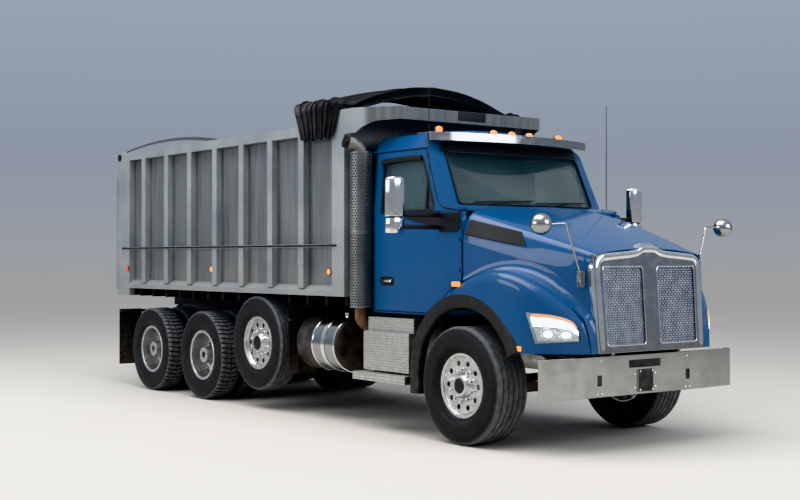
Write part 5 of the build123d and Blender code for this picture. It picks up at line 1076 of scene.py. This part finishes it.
class TRUCK_OT_cab(bpy.types.Operator):
    """Add the screen's seal, a black band over its header (its frit, darkened as painted shade under the visor), the
    wipers, the door seals, handles and window bars.
    """

    bl_idname = "truck.cab"
    bl_label = "Cab trim"

    def execute(self, context):
        (foot, low), (head, high) = SCREEN_FOOT, SCREEN_HEAD
        rim = [(0.0, low), (foot, low), (head, high), (-head, high), (-foot, low), (0.0, low)]
        rim = on_screen(eased(resampled(rim, 81), 2), 0.001)
        seals = [
            sweep(rim, rounded_rectangle(0.012, 0.034, 0.005), up=AHEAD),
            # Black band over the header up to the visor: the screen's frit, and painted shade under the visor.
            screen_band(2.700, 2.800, 0.905, 0.868, 0.003),
        ]
        cowl = screen_band(2.140, 2.182, 0.930, 0.915, 0.004)
        wipers = wiper(-0.62, 0.30, (-0.10, 0.60)) + wiper(0.20, 0.30, (-0.18, 0.56))
        gutter = stacked_up(np.linspace(-1.56, -0.70, 20), GUTTER_Z)
        drips = [sweep(on_side(gutter, side, 0.002), rounded_rectangle(0.010, 0.014, 0.004)) for _, side in SIDES]
        groups = [("seal_rubber", seals), ("moulded_black", [cowl] + wipers), ("blue_enamel", drips)]
        piece("cab_seals", "chassis", groups, 40.0)
        for word, side in SIDES:
            seam = side_strip(resampled(DOOR_LINE, 160), side, -0.001, circle(0.0045, 8))
            window = side_strip(resampled(WINDOW_LINE, 90), side, -0.004, rounded_rectangle(0.030, 0.014, 0.004))
            bar = side_strip(BAR_LINE, side, -0.010, rounded_rectangle(0.022, 0.014, 0.004))
            shade = side_strip(SHADE_LINE, side, 0.006, rounded_rectangle(0.052, 0.018, 0.007))
            middle = spot(-1.295, side * 1.049, 1.456)
            cup = layered(rounded_rectangle(0.230, 0.086, 0.042), CUP_LEVELS, middle, (0, 2, 1), side)
            lever = rounded_box((-1.370, side * 1.052, 1.444), (-1.215, side * 1.066, 1.470), 0.006)
            groups = [
                ("seal_rubber", [seam, window, door_dip(side)]),
                ("moulded_black", [bar, shade, cup]),
                ("plated", [lever]),
            ]
            piece(f"door_trim_{word}", f"{word}_door", groups, 40.0)
        return {"FINISHED"}


# Mirrors

MIRROR_WIDTH, MIRROR_DEPTH = 0.193, 0.088
MIRROR_Y, BARS_X, AERIAL_Y = 1.5925, -0.4685, 1.184
TALL_HEAD = (
    # height, scale of the outline
    (2.056, 0.0), (2.056, 0.88), (2.060, 0.97), (2.072, 1.0), (2.365, 1.0), (2.393, 0.975), (2.408, 0.91),
    (2.416, 0.78), (2.417, 0.5), (2.417, 0.0),
)
SHORT_HEAD = (
    (1.905, 0.0), (1.905, 0.80), (1.909, 0.90), (1.920, 0.955), (2.034, 0.965), (2.043, 0.93), (2.044, 0.0),
)
PLATE_LINE = ((-0.478, 1.925), (-0.478, 2.104), (-0.182, 2.104), (-0.182, 1.960), (-0.218, 1.925))
PLATE_LEVELS = ((0.0, 0.0), (0.0, 1.0), (0.009, 1.0), (0.013, 0.97), (0.013, 0.0))
AERIAL = (
    (2.1055, 0.0), (2.1055, 0.0105), (2.140, 0.0085), (2.150, 0.0045), (2.70, 0.0042), (3.262, 0.0035), (3.268, 0.0),
)


def mirror_outline():
    """Section of a mirror's head: flat behind, a half superellipse in front."""
    angle = np.linspace(-math.pi / 2, math.pi / 2, 25)
    bow = MIRROR_DEPTH * np.clip(np.cos(angle), 0.0, 1.0) ** 0.62
    across = MIRROR_WIDTH / 2 * np.sign(np.sin(angle)) * np.abs(np.sin(angle)) ** 0.8
    back = stacked_up(0.0, np.linspace(MIRROR_WIDTH / 2, -MIRROR_WIDTH / 2, 9)[1:-1])
    return np.concatenate([stacked_up(bow, across), back]) - np.array([MIRROR_DEPTH * 0.45, 0.0])


class TRUCK_OT_mirrors(bpy.types.Operator):
    """Fit the doors' mirrors: plate, bars, a tall flat head over a low convex one, and the aerial."""

    bl_idname = "truck.mirrors"
    bl_label = "Door mirrors"

    def execute(self, context):
        for word, side in SIDES:
            middle = spot(-0.478 + MIRROR_DEPTH * 0.45, side * MIRROR_Y, 0.0)
            heads = [layered(mirror_outline(), levels, middle) for levels in (TALL_HEAD, SHORT_HEAD)]
            glass = [
                rounded_box((-0.4805, side * 1.506, 2.080), (-0.4765, side * 1.679, 2.400), 0.0015),
                rounded_box((-0.4805, side * 1.512, 1.918), (-0.4765, side * 1.673, 2.032), 0.0015),
            ]
            x, z = np.mean(PLATE_LINE, axis=0)
            outline = (np.array(PLATE_LINE) - (x, z))[::-1]
            holders = [layered(outline, PLATE_LEVELS, spot(x, side * 1.0505, z), (0, 2, 1), side)]
            holders.append(rounded_box((-0.470, side * 1.545, 2.040), (-0.410, side * 1.640, 2.060), 0.004))
            for z, height in ((1.9675, 0.043), (2.083, 0.044)):
                path = stacked_up(AXLE_X + BARS_X, side * np.linspace(1.0610, 1.500, 9), z)
                holders.append(sweep(path, rounded_rectangle(0.021, height, 0.008)))
            rod = lathe(AERIAL, spot(BARS_X, side * AERIAL_Y, 0.0), "Z", 12)
            groups = [("plated", heads), ("moulded_black", holders), ("seal_rubber", [rod]), ("mirror_glass", glass)]
            piece(f"mirror_{word}", f"{word}_door", groups, 35.0, [f"door_mirror_{word}"])
        return {"FINISHED"}


# Seats

SEAT_Y = 0.490
CUSHIONS = (
    # name, width, depth, height, crown, pull, sewn channels, X and Z of the middle, order of the axes
    ("seat_cushion", 0.49, 0.54, 0.125, 0.03, 0.03, (-0.10, 0.0, 0.10), (-1.13, 1.592), (1, 0, 2)),
    ("seat_back", 0.48, 0.60, 0.115, 0.03, 0.04, (-0.16, -0.02, 0.12), (-1.370, 1.935), (2, 0, 1)),
    ("headrest", 0.27, 0.17, 0.10, 0.02, 0.04, (), (-1.372, 2.330), (2, 0, 1)),
)
HEADREST_ROD = ((2.20, 0.0), (2.20, 0.006), (2.30, 0.006), (2.30, 0.0))


def pillow(width, depth, height, crown, pull, channels, centre, order):
    """Cushion: a rounded outline scaled along a profile that runs out over the base, up round the edge and back
    over a crowned face. Its sides are drawn in between the corners, and sewn channels press across the face."""
    outline = rounded_rectangle(width, depth, 0.07, 6)
    outline = resampled(np.concatenate([outline, outline[:1]]), 97)[:-1]
    turn = np.linspace(-math.pi / 2, math.pi / 2, 11)
    scale = np.concatenate([np.linspace(0.0, 0.94, 6)[:-1], 0.94 + 0.06 * np.cos(turn), np.linspace(0.94, 0.0, 16)[1:]])
    rise = np.concatenate([np.full(5, -0.5), 0.5 * np.sin(turn), np.full(15, 0.5)])[:, None]
    x, y = np.moveaxis(scale[:, None, None] * outline, -1, 0)
    x = x * (1 - pull * (1 - (2 * y / depth) ** 2))
    y = y * (1 - pull * (1 - (2 * x / width) ** 2))
    dome = crown * (1 - np.clip(2 * np.abs(x) / width, 0, 1) ** 2.5) * (1 - np.clip(2 * np.abs(y) / depth, 0, 1) ** 2.5)
    pressed = sum(0.012 * np.exp(-(((y - at) / 0.010) ** 2)) for at in channels)
    z = (height - crown) * rise - crown / 2 + np.clip(rise + 0.5, 0.0, 1.0) * (dome - pressed)
    return grid(stacked_up(x, y, z)[..., list(order)] + np.array(centre), closed_v=True)


class TRUCK_OT_seats(bpy.types.Operator):
    """Upholster both seats: cushion, back and headrest on a moulded base."""

    bl_idname = "truck.seats"
    bl_label = "Seats"

    def execute(self, context):
        bases = []
        for word, side in SIDES:
            y = side * SEAT_Y
            bases.append(rounded_box((-1.36, y - 0.20, 1.190), (-0.90, y + 0.20, 1.300), 0.02))
            bases.append(rounded_box((-1.30, y - 0.13, 1.280), (-0.96, y + 0.13, 1.500), 0.03))
            bases.append(rounded_box((-1.39, y - 0.235, 1.485), (-0.88, y + 0.235, 1.535), 0.015))
            for name, *form, (x, z), order in CUSHIONS:
                shape = pillow(*form, spot(x, y, z), order)
                made = piece(f"{name}_{word}", "chassis", [("seat_cloth", [shape])], 60.0)
            bases += [lathe(HEADREST_ROD, spot(-1.375, y + offset, 0.0), "Z", 10) for offset in (-0.06, 0.06)]
        piece("seat_frames", "chassis", [("moulded_black", bases)], 35.0, ["seats"])
        return {"FINISHED"}


# Lamps

ROOF_LAMPS = (
    (-0.800, -0.802, 2.925), (-0.800, 0.802, 2.925), (-0.640, -0.240, 2.905), (-0.640, 0.0, 2.905),
    (-0.640, 0.240, 2.905),
)
ROOF_LAMP_BODY = (
    (-0.054, 0.0), (-0.054, 0.010), (-0.046, 0.021), (-0.030, 0.030), (-0.005, 0.0345), (0.002, 0.0355),
    (0.004, 0.033), (0.004, 0.0),
)
BED_LAMPS = (
    # X from the axle, Z, |Y| of the seat, colour
    (-6.736, 1.546, 1.219, "red"),
    (-4.641, 1.549, 1.135, "amber"),
    (-2.171, 1.539, 1.135, "amber"),
)


def bulge(start, depth, radius, steps, base=0.0):
    """Quarter ellipse of a turned profile, from its radius above a base in to the base."""
    turn = np.linspace(0.0, math.pi / 2, steps)
    return [(start + depth * math.sin(a), base + radius * math.cos(a)) for a in turn]


def domed_lamp(centre, axis, way, radius, depth):
    """Round lamp: a rubber ring stepped in to a lens with an elliptic dome."""
    ring = [(0.0, 0.0), (0.0, radius), (0.45 * depth, radius), (0.55 * depth, 0.92 * radius), (0.55 * depth, 0.0)]
    dome = [(0.5 * depth, 0.0), (0.5 * depth, 0.86 * radius)] + bulge(0.55 * depth, 0.45 * depth, 0.86 * radius, 8)
    return [lathe(profile, centre, axis, 28, way=way) for profile in (ring, dome)]


class TRUCK_OT_lamps(bpy.types.Operator):
    """Fit the roof lamps and the bed's side and tail lamps."""

    bl_idname = "truck.lamps"
    bl_label = "Lamps"

    def execute(self, context):
        bodies, lenses = [], []
        for x, y, z in ROOF_LAMPS:
            glow = [(0.0, 0.0), (0.0, 0.0325)] + bulge(0.006, 0.048, 0.0325, 9)
            bodies.append(lathe(ROOF_LAMP_BODY, spot(x, y, z), "X", 28))
            lenses.append(lathe(glow, spot(x, y, z), "X", 28))
            bodies.append(rounded_box((x - 0.050, y - 0.022, z - 0.042), (x + 0.006, y + 0.022, z - 0.020), 0.008))
        groups = [("plated", bodies), ("amber_lens", lenses)]
        piece("roof_lamp_units", "chassis", groups, 40.0, ["roof_lamps"])
        rings, amber, red = [], [], []
        for _, side in SIDES:
            for x, z, seat, colour in BED_LAMPS:
                ring, dome = domed_lamp(spot(x, side * seat, z), "Y", side, 0.034, 0.022)
                rings.append(ring)
                (red if colour == "red" else amber).append(dome)
            ring, dome = domed_lamp(spot(-7.012, side * 1.177, 1.223), "X", -1, 0.024, 0.018)
            rings.append(ring)
            red.append(dome)
        groups = [("seal_rubber", rings), ("amber_lens", amber), ("red_lens", red)]
        piece("bed_lamp_units", "bed", groups, 40.0, ["bed_lamps"])
        return {"FINISHED"}


# Exhaust

STACK_X, STACK_Y, STACK_TOP = -1.630, -1.125, 2.715
STACK_CLAMPS = ((1.185, 1.204), (1.925, 1.960), (2.724, 2.745))
BEND_R, BEND_TURN, SPOUT = 0.115, math.radians(75.0), 0.095
BEND_WAY = (-0.3, -0.954)  # direction of the spout, seen from above


def perforated(centre, radius, low, high, around, hole, thickness):
    """Punched tube. Each cell is a rectangle with a round hole: eight points on its border, eight on the hole.
    Rows are shifted by half a cell, and the whole pattern is rolled up round the tube's axis."""
    width = 2 * math.pi * radius / around
    rows = round((high - low) / (width * 0.866))
    height = (high - low) / rows
    border = np.array([(-1, -1), (0, -1), (1, -1), (1, 0), (1, 1), (0, 1), (-1, 1), (-1, 0)])
    border = border * np.array([width, height]) / 2
    angle = np.radians(np.array([-135, -90, -45, 0, 45, 90, 135, 180]))
    rim = hole / 2 * stacked_up(np.cos(angle), np.sin(angle))
    j, i = np.meshgrid(np.arange(rows), np.arange(around), indexing="ij")
    middle = stacked_up((i + 0.5 * (j % 2)) * width, low + (j + 0.5) * height).reshape(-1, 1, 1, 2)
    flat = middle + np.stack([border, rim, rim, border])[None]
    reach = np.array([radius, radius, radius - thickness, radius - thickness])[None, :, None]
    turn = flat[..., 0] / radius
    points = stacked_up(reach * np.cos(turn), reach * np.sin(turn), flat[..., 1]) + np.array(centre)
    index = np.arange(len(points) * 32).reshape(-1, 4, 8)
    after = np.roll(index, -1, axis=2)
    quads = np.stack([index[:, :-1], after[:, :-1], after[:, 1:], index[:, 1:]], axis=-1).reshape(-1, 4)
    turn = np.arange(2 * around) * width / 2 / radius
    walls = np.array([radius, radius - thickness])[:, None]
    edges = [stacked_up(walls * np.cos(turn), walls * np.sin(turn), z) + np.array(centre) for z in (low, high)]
    return joined([(points.reshape(-1, 3), quads)] + [grid(edge, closed_v=True) for edge in edges])


def hoop(low, high, inner, shoulder, outer, chamfer):
    """Profile of a band round a tube or tank, with its outer edges cut."""
    return [
        (low, inner), (low, shoulder), (low + chamfer, outer), (high - chamfer, outer), (high, shoulder), (high, inner),
    ]


class TRUCK_OT_exhaust(bpy.types.Operator):
    """Fit the punched guard round the stack, its clamps and the soot in its mouth."""

    bl_idname = "truck.exhaust"
    bl_label = "Exhaust guard"

    def execute(self, context):
        centre = spot(STACK_X, STACK_Y, 0.0)
        rings = [hoop(*ends, 0.1085, 0.1115, 0.1125, 0.003) for ends in STACK_CLAMPS]
        rings.append([(1.186, 0.063), (1.186, 0.111), (1.194, 0.111), (1.194, 0.063)])
        guard = [perforated(centre, 0.112, 1.200, 2.730, 22, 0.0195, 0.004)]
        guard += [lathe(ring, centre, "Z", 48, closed=True) for ring in rings]
        piece("stack_guard", "chassis", [("punched_steel", guard)], 30.0, ["exhaust_guard"])
        lean, climb = math.sin(BEND_TURN), math.cos(BEND_TURN)
        out, rise = BEND_R * (1 - climb) + SPOUT * lean, BEND_R * lean + SPOUT * climb
        way = np.array([BEND_WAY[0] * lean, BEND_WAY[1] * lean, climb])
        mouth = spot(STACK_X + BEND_WAY[0] * out, STACK_Y + BEND_WAY[1] * out, STACK_TOP + rise)
        soot = sweep([mouth - 0.045 * way, mouth - 0.02 * way, mouth + 0.0012 * way], circle(0.0632, 32))
        piece("stack_mouth", "chassis", [("seal_rubber", [soot])], 30.0)
        return {"FINISHED"}


# Tanks, steps and bumper

TANK_Y, TANK_Z = 0.925, 0.790
TANK_BANDS = ((-2.220, -2.160), (-1.998, -1.974))
TANK_BARREL = ((-2.382, 0.0), (-2.382, 0.2882), (-1.985, 0.2882), (-1.980, 0.280), (-1.980, 0.0))
FILLER_CAP = (
    (1.070, 0.0), (1.070, 0.030), (1.082, 0.030), (1.084, 0.040), (1.112, 0.040), (1.124, 0.032), (1.128, 0.0),
)
STEP_RIBS = (
    # X of the ends, then |Y| or Z of the ribs, the other one, width and height
    (-1.518, -0.792, 1.171, np.arange(0.604, 0.950, 0.027), 0.010, 0.013),
    (-1.518, -0.792, 1.111, np.arange(0.985, 1.095, 0.027), 0.010, 0.013),
    (-1.510, -0.800, np.arange(1.122, 1.168, 0.018), 0.961, 0.009, 0.006),
    (-1.632, -0.798, np.arange(1.000, 1.215, 0.024), 0.557, 0.011, 0.006),
    (-1.638, -0.792, 1.2195, np.array([0.500, 0.536]), 0.006, 0.013),
)
BOLT_HEAD = ((0.0, 0.0), (0.0, 0.009), (0.004, 0.009), (0.007, 0.005), (0.008, 0.0))
PLATE_BOLTS = ((-0.080, 0.520), (0.080, 0.520), (-0.080, 0.685), (0.080, 0.685))
BUMPER_BOLTS = ((0.545, 0.510), (0.605, 0.510), (0.560, 0.795), (0.135, 0.660), (0.135, 0.540))


class TRUCK_OT_tanks(bpy.types.Operator):
    """Shape the tanks with domed ends, straps, brackets and filler caps."""

    bl_idname = "truck.tanks"
    bl_label = "Fuel tanks"

    def execute(self, context):
        barrels, straps, dark, caps = [], [], [], []
        rear = [(-2.699, 0.0)] + bulge(-2.669, -0.030, 0.030, 8, 0.258)[::-1] + [(-2.380, 0.288), (-2.380, 0.0)]
        front = [(-1.990, 0.0), (-1.990, 0.286)] + bulge(-1.975, 0.042, 0.082, 8, 0.205)
        front += [(-1.932, 0.10), (-1.931, 0.0)]
        liner = [(-2.226, 0.284), (-2.226, 0.2905), (-2.154, 0.2905), (-2.154, 0.284)]
        bands = [hoop(-2.392, -2.364, 0.285, 0.293, 0.2955, 0.004)]
        bands += [hoop(*ends, 0.285, 0.292, 0.2955, 0.004) for ends in TANK_BANDS]
        for _, side in SIDES:
            centre = spot(0.0, side * TANK_Y, TANK_Z)
            barrels.append(lathe(TANK_BARREL, centre, "X", 72))
            dark += [lathe(rear, centre, "X", 72), lathe(front, centre, "X", 72)]
            dark.append(lathe(liner, centre, "X", 72, closed=True))
            dark.append(rounded_box((-2.215, side * 0.432, 0.730), (-2.165, side * 0.673, 1.005), 0.008))
            straps += [lathe(band, centre, "X", 72, closed=True) for band in bands]
            caps.append(lathe(FILLER_CAP, spot(-2.160, side * 0.905, 0.0), "Z", 28))
        groups = [("polished_steel", barrels), ("plated", straps + caps), ("chassis_black", dark)]
        piece("tank_shells", "chassis", groups, 30.0, ["fuel_tanks"])
        return {"FINISHED"}


class TRUCK_OT_steps(bpy.types.Operator):
    """Add the ribs of the steps' extruded faces and treads."""

    bl_idname = "truck.steps"
    bl_label = "Step ribs"

    def execute(self, context):
        ribs = []
        for _, side in SIDES:
            for start, end, ys, zs, width, height in STEP_RIBS:
                section = rounded_rectangle(width, height, min(width, height) * 0.35, 2)
                for y, z in np.broadcast(ys, zs):
                    ribs.append(sweep([spot(x, side * y, z) for x in np.linspace(start, end, 3)], section))
        piece("step_ribs", "chassis", [("step_aluminium", ribs)], 40.0)
        return {"FINISHED"}


class TRUCK_OT_bumper(bpy.types.Operator):
    """Add the bumper's black plate, dark backs in its slots as painted shade, and bolts."""

    bl_idname = "truck.bumper"
    bl_label = "Bumper trim"

    def execute(self, context):
        # The first insert is the black plate; the others are dark backs set into the bumper's slots, painted shade in
        # the openings.
        dark = [
            rounded_box((1.104, -0.094, 0.506), (1.127, 0.094, 0.699), 0.008),
            rounded_box((1.098, -0.204, 0.723), (1.112, 0.204, 0.787), 0.006),
        ]
        places = [(1.126, y, z) for y, z in PLATE_BOLTS]
        for _, side in SIDES:
            # Dark backs in the side slots, behind the bumper's face: painted shade.
            dark.append(rounded_box((1.090, side * 0.548, 0.584), (1.108, side * 0.602, 0.672), 0.005))
            places += [(1.109, side * y, z) for y, z in BUMPER_BOLTS]
        bolts = [lathe(BOLT_HEAD, spot(*place), "X", 10) for place in places]
        piece("bumper_trim", "chassis", [("moulded_black", dark), ("plated", bolts)], 40.0)
        return {"FINISHED"}


# Bed

RAIL_Y, RAIL_Z = 1.2305, 1.810
WELD_Y, WELD_FOOT_Z, WELD_STEP, WELDS = 1.1345, 1.93, 0.19, 6
POSTS = (-6.291, -5.669, -5.065, -4.444, -3.832, -3.215, -2.590)
WELD_X = [post + 0.1075 for post in POSTS] + [-2.135]
WELD_BEAD = ((0.0, 0.0), (0.0, 0.010), (0.004, 0.008), (0.006, 0.0))
ROLLER = ((0.0, 0.0), (0.0, 0.046), (0.012, 0.046), (0.016, 0.030), (0.016, 0.0))


class TRUCK_OT_bed(bpy.types.Operator):
    """Add the rub rail's strip, the weld beads along the posts, the rear rollers and the blank sign plate."""

    bl_idname = "truck.bed"
    bl_label = "Bed details"

    def execute(self, context):
        strips, beads, rollers = [], [], []
        for _, side in SIDES:
            path = stacked_up(AXLE_X + np.linspace(-6.90, -1.92, 5), side * RAIL_Y, RAIL_Z)
            strips.append(sweep(path, rounded_rectangle(0.005, 0.021, 0.002, 2)))
            for index, x in enumerate(WELD_X):
                for k in range(WELDS):
                    z = WELD_FOOT_Z + WELD_STEP * k + 0.02 * math.sin(3.1 * index + 1.7 * k)
                    beads.append(lathe(WELD_BEAD, spot(x, side * WELD_Y, z), "Y", 8, way=side))
            rollers.append(lathe(ROLLER, spot(-6.985, side * 1.2185, 3.015), "Y", 32, way=side))
        groups = [("seal_rubber", strips), ("weathered_sheet", beads), ("moulded_black", rollers)]
        piece("bed_details", "bed", groups, 40.0)
        sign = [rounded_box((-1.224, -0.195, 3.088), (-1.216, 0.173, 3.182), 0.003)]
        piece("sign_plate", "bed", [("moulded_black", sign)], 40.0)
        return {"FINISHED"}


# Tarp

TARP_HALF_SECTION = (
    (0.0, 3.462), (0.35, 3.440), (0.70, 3.355), (0.98, 3.262), (1.10, 3.236), (1.19, 3.278), (1.262, 3.240),
    (1.263, 3.100), (1.263, 2.930),
)
TARP_ENDS = (-2.705, -1.838)


def tarp_folds(folds):
    """Bunched tarp: an arched section across the truck, carried back along it. A wave that runs along the truck
    pushes the cloth out and in along the section's normal, and swells at the crests so that the folds bulge."""
    half = eased(TARP_HALF_SECTION, 2)
    section = resampled(np.concatenate([half[:0:-1] * np.array([-1.0, 1.0]), half]), 131)
    run = unit(np.gradient(section, axis=0))
    u = np.linspace(-1.0, 1.0, len(section))[:, None]
    v = np.linspace(0.0, 1.0, folds * 14 + 1)[None]
    phase = 2 * math.pi * (folds * v + 0.30 * np.sin(2.3 * u + 1.1) + 0.20 * np.sin(5.1 * u - 2.0 + 3.0 * v))
    top = np.clip((section[:, 1:] - 3.12) / 0.16, 0.0, 1.0)
    size = 0.034 + 0.030 * top * top * (3 - 2 * top)
    vary = 0.76 + 0.24 * np.sin(2 * math.pi * 4.3 * v + 3.7 * u + 1.0)
    wave = (np.sin(phase) + 0.20 * np.sin(2 * phase + 1.3 + 2 * u)) / 1.12
    push = size * vary * wave
    low = np.clip((3.26 - section[:, 1:]) / 0.33, 0.0, 1.0) * (np.abs(u) > 0.8)
    x = -1.842 - 0.858 * v - 0.014 * np.sin(2 * phase) * np.clip(v * 20, 0, 1) * np.clip((1 - v) * 20, 0, 1)
    x = x + low * (0.16 * v**1.5 - 0.10 * (1 - v) ** 2) + 0.012 * np.sin(7 * u + 9 * v)
    y = section[:, :1] - run[:, 1:] * push
    z = section[:, 1:] + run[:, :1] * push + 0.02 * v * top
    hem = np.clip((np.abs(u) - 0.86) / 0.14, 0.0, 1.0)
    z = z - hem * 0.017 * (1 + np.sin(0.5 * phase + 0.8 + u))
    return stacked_up(AXLE_X + np.clip(x, *TARP_ENDS), y, z)


class TRUCK_OT_tarp(bpy.types.Operator):
    """Bunch the tarp over the bed's front."""

    bl_idname = "truck.tarp"
    bl_label = "Tarp"

    def execute(self, context):
        cloth = shell(tarp_folds(context.scene.truck_sizes.folds), 0.003)
        made = piece("tarp_cover", "bed", [("tarp_vinyl", [cloth])], 75.0, ["tarp"])
        return {"FINISHED"}


# Stage

FLOOR_HALF = 150.0
SKY = ((0.0, "#B9BCC2"), (0.08, "#A9B4C4"), (0.35, "#C9D4E4"), (1.0, "#FFFFFF"))
SKY_STRENGTH = 0.75
LIGHTS = (
    # name, place, aim, size, watts
    ("overhead", (1.0, -4.0, 11.0), (0.0, 0.0, 1.5), (14.0, 8.0), 1500.0),
    ("front_fill", (14.0, 4.0, 6.0), (3.0, 0.0, 1.5), (8.0, 5.0), 700.0),
    ("side_fill", (-3.0, -14.0, 5.0), (0.0, 0.0, 1.5), (12.0, 4.0), 600.0),
)
CAMERA_AT, CAMERA_TURN = (11.691, -8.599, 1.680), (90.37, 0.0, 52.48)
CAMERA_LENS, CAMERA_SENSOR, CAMERA_CLIP = 57.38, 36.0, 500.0


class TRUCK_OT_stage(bpy.types.Operator):
    """Set the floor, the soft studio light and the camera."""

    bl_idname = "truck.stage"
    bl_label = "Stage"

    def execute(self, context):
        concrete = Finish("studio_floor", {"Roughness": 0.75})
        concrete.colour(concrete.spots(3.0, 2.0), "#CCC8C1", "#CECAC3")
        s = np.linspace(-FLOOR_HALF, FLOOR_HALF, 3)
        points, faces = grid(stacked_up(s[:, None], s[None], 0.0))
        mesh = bpy.data.meshes.new("studio_floor")
        mesh.from_pydata(points, [], faces)
        mesh.materials.append(MATERIALS["studio_floor"])
        floor = bpy.data.objects.new("studio_floor", mesh)
        context.scene.collection.objects.link(floor)
        world = context.scene.world = bpy.data.worlds.new("studio")
        world.use_nodes = True
        tree = world.node_tree
        direction = add_node(tree, "ShaderNodeTexCoord").outputs["Generated"]
        axes = add_node(tree, "ShaderNodeSeparateXYZ", links={0: direction})
        ramp = add_node(tree, "ShaderNodeValToRGB", links={0: axes.outputs["Z"]})
        for position, _ in SKY[1:-1]:
            ramp.color_ramp.elements.new(position)
        for element, (position, colour) in zip(ramp.color_ramp.elements, SKY):
            element.position = position
            element.color = linear(colour)
        background = tree.nodes["Background"]
        background.inputs["Strength"].default_value = SKY_STRENGTH
        tree.links.new(ramp.outputs[0], background.inputs["Color"])
        for name, place, aim, size, power in LIGHTS:
            data = bpy.data.lights.new(name, "AREA")
            data.shape = "RECTANGLE"
            data.size, data.size_y = size
            data.energy = power
            lamp = bpy.data.objects.new(name, data)
            lamp.location = place
            lamp.rotation_euler = (Vector(aim) - Vector(place)).to_track_quat("-Z", "Y").to_euler()
            context.scene.collection.objects.link(lamp)
        data = bpy.data.cameras.new("camera")
        data.sensor_width, data.lens, data.clip_end = CAMERA_SENSOR, CAMERA_LENS, CAMERA_CLIP
        camera = bpy.data.objects.new("camera", data)
        camera.location = CAMERA_AT
        camera.rotation_euler = [math.radians(turn) for turn in CAMERA_TURN]
        context.scene.collection.objects.link(camera)
        context.scene.camera = camera
        context.scene.view_settings.view_transform = "Khronos PBR Neutral"
        return {"FINISHED"}


class TRUCK_OT_finish(bpy.types.Operator):
    """Make the materials and give each CAD node the finish of its slot."""

    bl_idname = "truck.finish"
    bl_label = "Finishes"

    def execute(self, context):
        for maker in MAKERS:
            maker()
        for row in LENSES:
            lens(*row)
        slots = {row["node"]: row["material_slot"] for row in frame["record"]["subparts"]}
        for name, node in frame["nodes"].items():
            node.data.materials.clear()
            finish = NODE_FINISH.get(name, SLOT_FINISH[slots[name]])
            node.data.materials.append(MATERIALS[finish])
        return {"FINISHED"}


class TruckPaint(bpy.types.PropertyGroup):
    """Paint of the truck."""

    blue: FloatVectorProperty(
        name="Cab colour",
        description="Enamel of the cab, doors and hood",
        default=linear("#00487A")[:3],
        min=0.0,
        max=1.0,
        subtype="COLOR",
    )


class TruckSizes(bpy.types.PropertyGroup):
    """Sizes of the truck's finish."""

    skin: FloatProperty(
        name="Skin", description="Thickness of the hood's moulded skin", default=0.006, unit="LENGTH"
    )
    mesh_pitch: FloatProperty(
        name="Mesh pitch", description="Spacing of the grille's wires", default=0.020, unit="LENGTH"
    )
    mesh_wire: FloatProperty(
        name="Mesh wire", description="Radius of the grille's wires", default=0.0044, unit="LENGTH"
    )
    folds: IntProperty(name="Folds", description="Folds of the bunched tarp", default=8, min=4)


class TRUCK_PT_panel(bpy.types.Panel):
    """Paint, sizes and operators of the truck."""

    bl_label = "Dump truck"
    bl_idname = "TRUCK_PT_panel"
    bl_space_type = "VIEW_3D"
    bl_region_type = "UI"
    bl_category = "Truck"

    def draw(self, context):
        column = self.layout.column()
        column.prop(context.scene.truck_paint, "blue")
        for name in ("skin", "mesh_pitch", "mesh_wire", "folds"):
            column.prop(context.scene.truck_sizes, name)
        for operator in OPERATORS:
            column.operator(operator.bl_idname)


OPERATORS = (
    TRUCK_OT_finish, TRUCK_OT_stage, TRUCK_OT_tyres, TRUCK_OT_wheels, TRUCK_OT_hood, TRUCK_OT_grille,
    TRUCK_OT_headlamps, TRUCK_OT_cab, TRUCK_OT_mirrors, TRUCK_OT_seats, TRUCK_OT_lamps, TRUCK_OT_exhaust,
    TRUCK_OT_tanks, TRUCK_OT_steps, TRUCK_OT_bumper, TRUCK_OT_bed, TRUCK_OT_tarp,
)
CLASSES = (TruckPaint, TruckSizes, *OPERATORS, TRUCK_PT_panel)


def register():
    for cls in CLASSES:
        bpy.utils.register_class(cls)
    bpy.types.Scene.truck_paint = PointerProperty(type=TruckPaint)
    bpy.types.Scene.truck_sizes = PointerProperty(type=TruckSizes)


def unregister():
    del bpy.types.Scene.truck_paint
    del bpy.types.Scene.truck_sizes
    for cls in reversed(CLASSES):
        bpy.utils.unregister_class(cls)


def main():
    """Register the add-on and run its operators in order."""
    register()
    for operator in OPERATORS:
        group, name = operator.bl_idname.split(".")
        getattr(getattr(bpy.ops, group), name)()


if __name__ == "__main__":
    main()
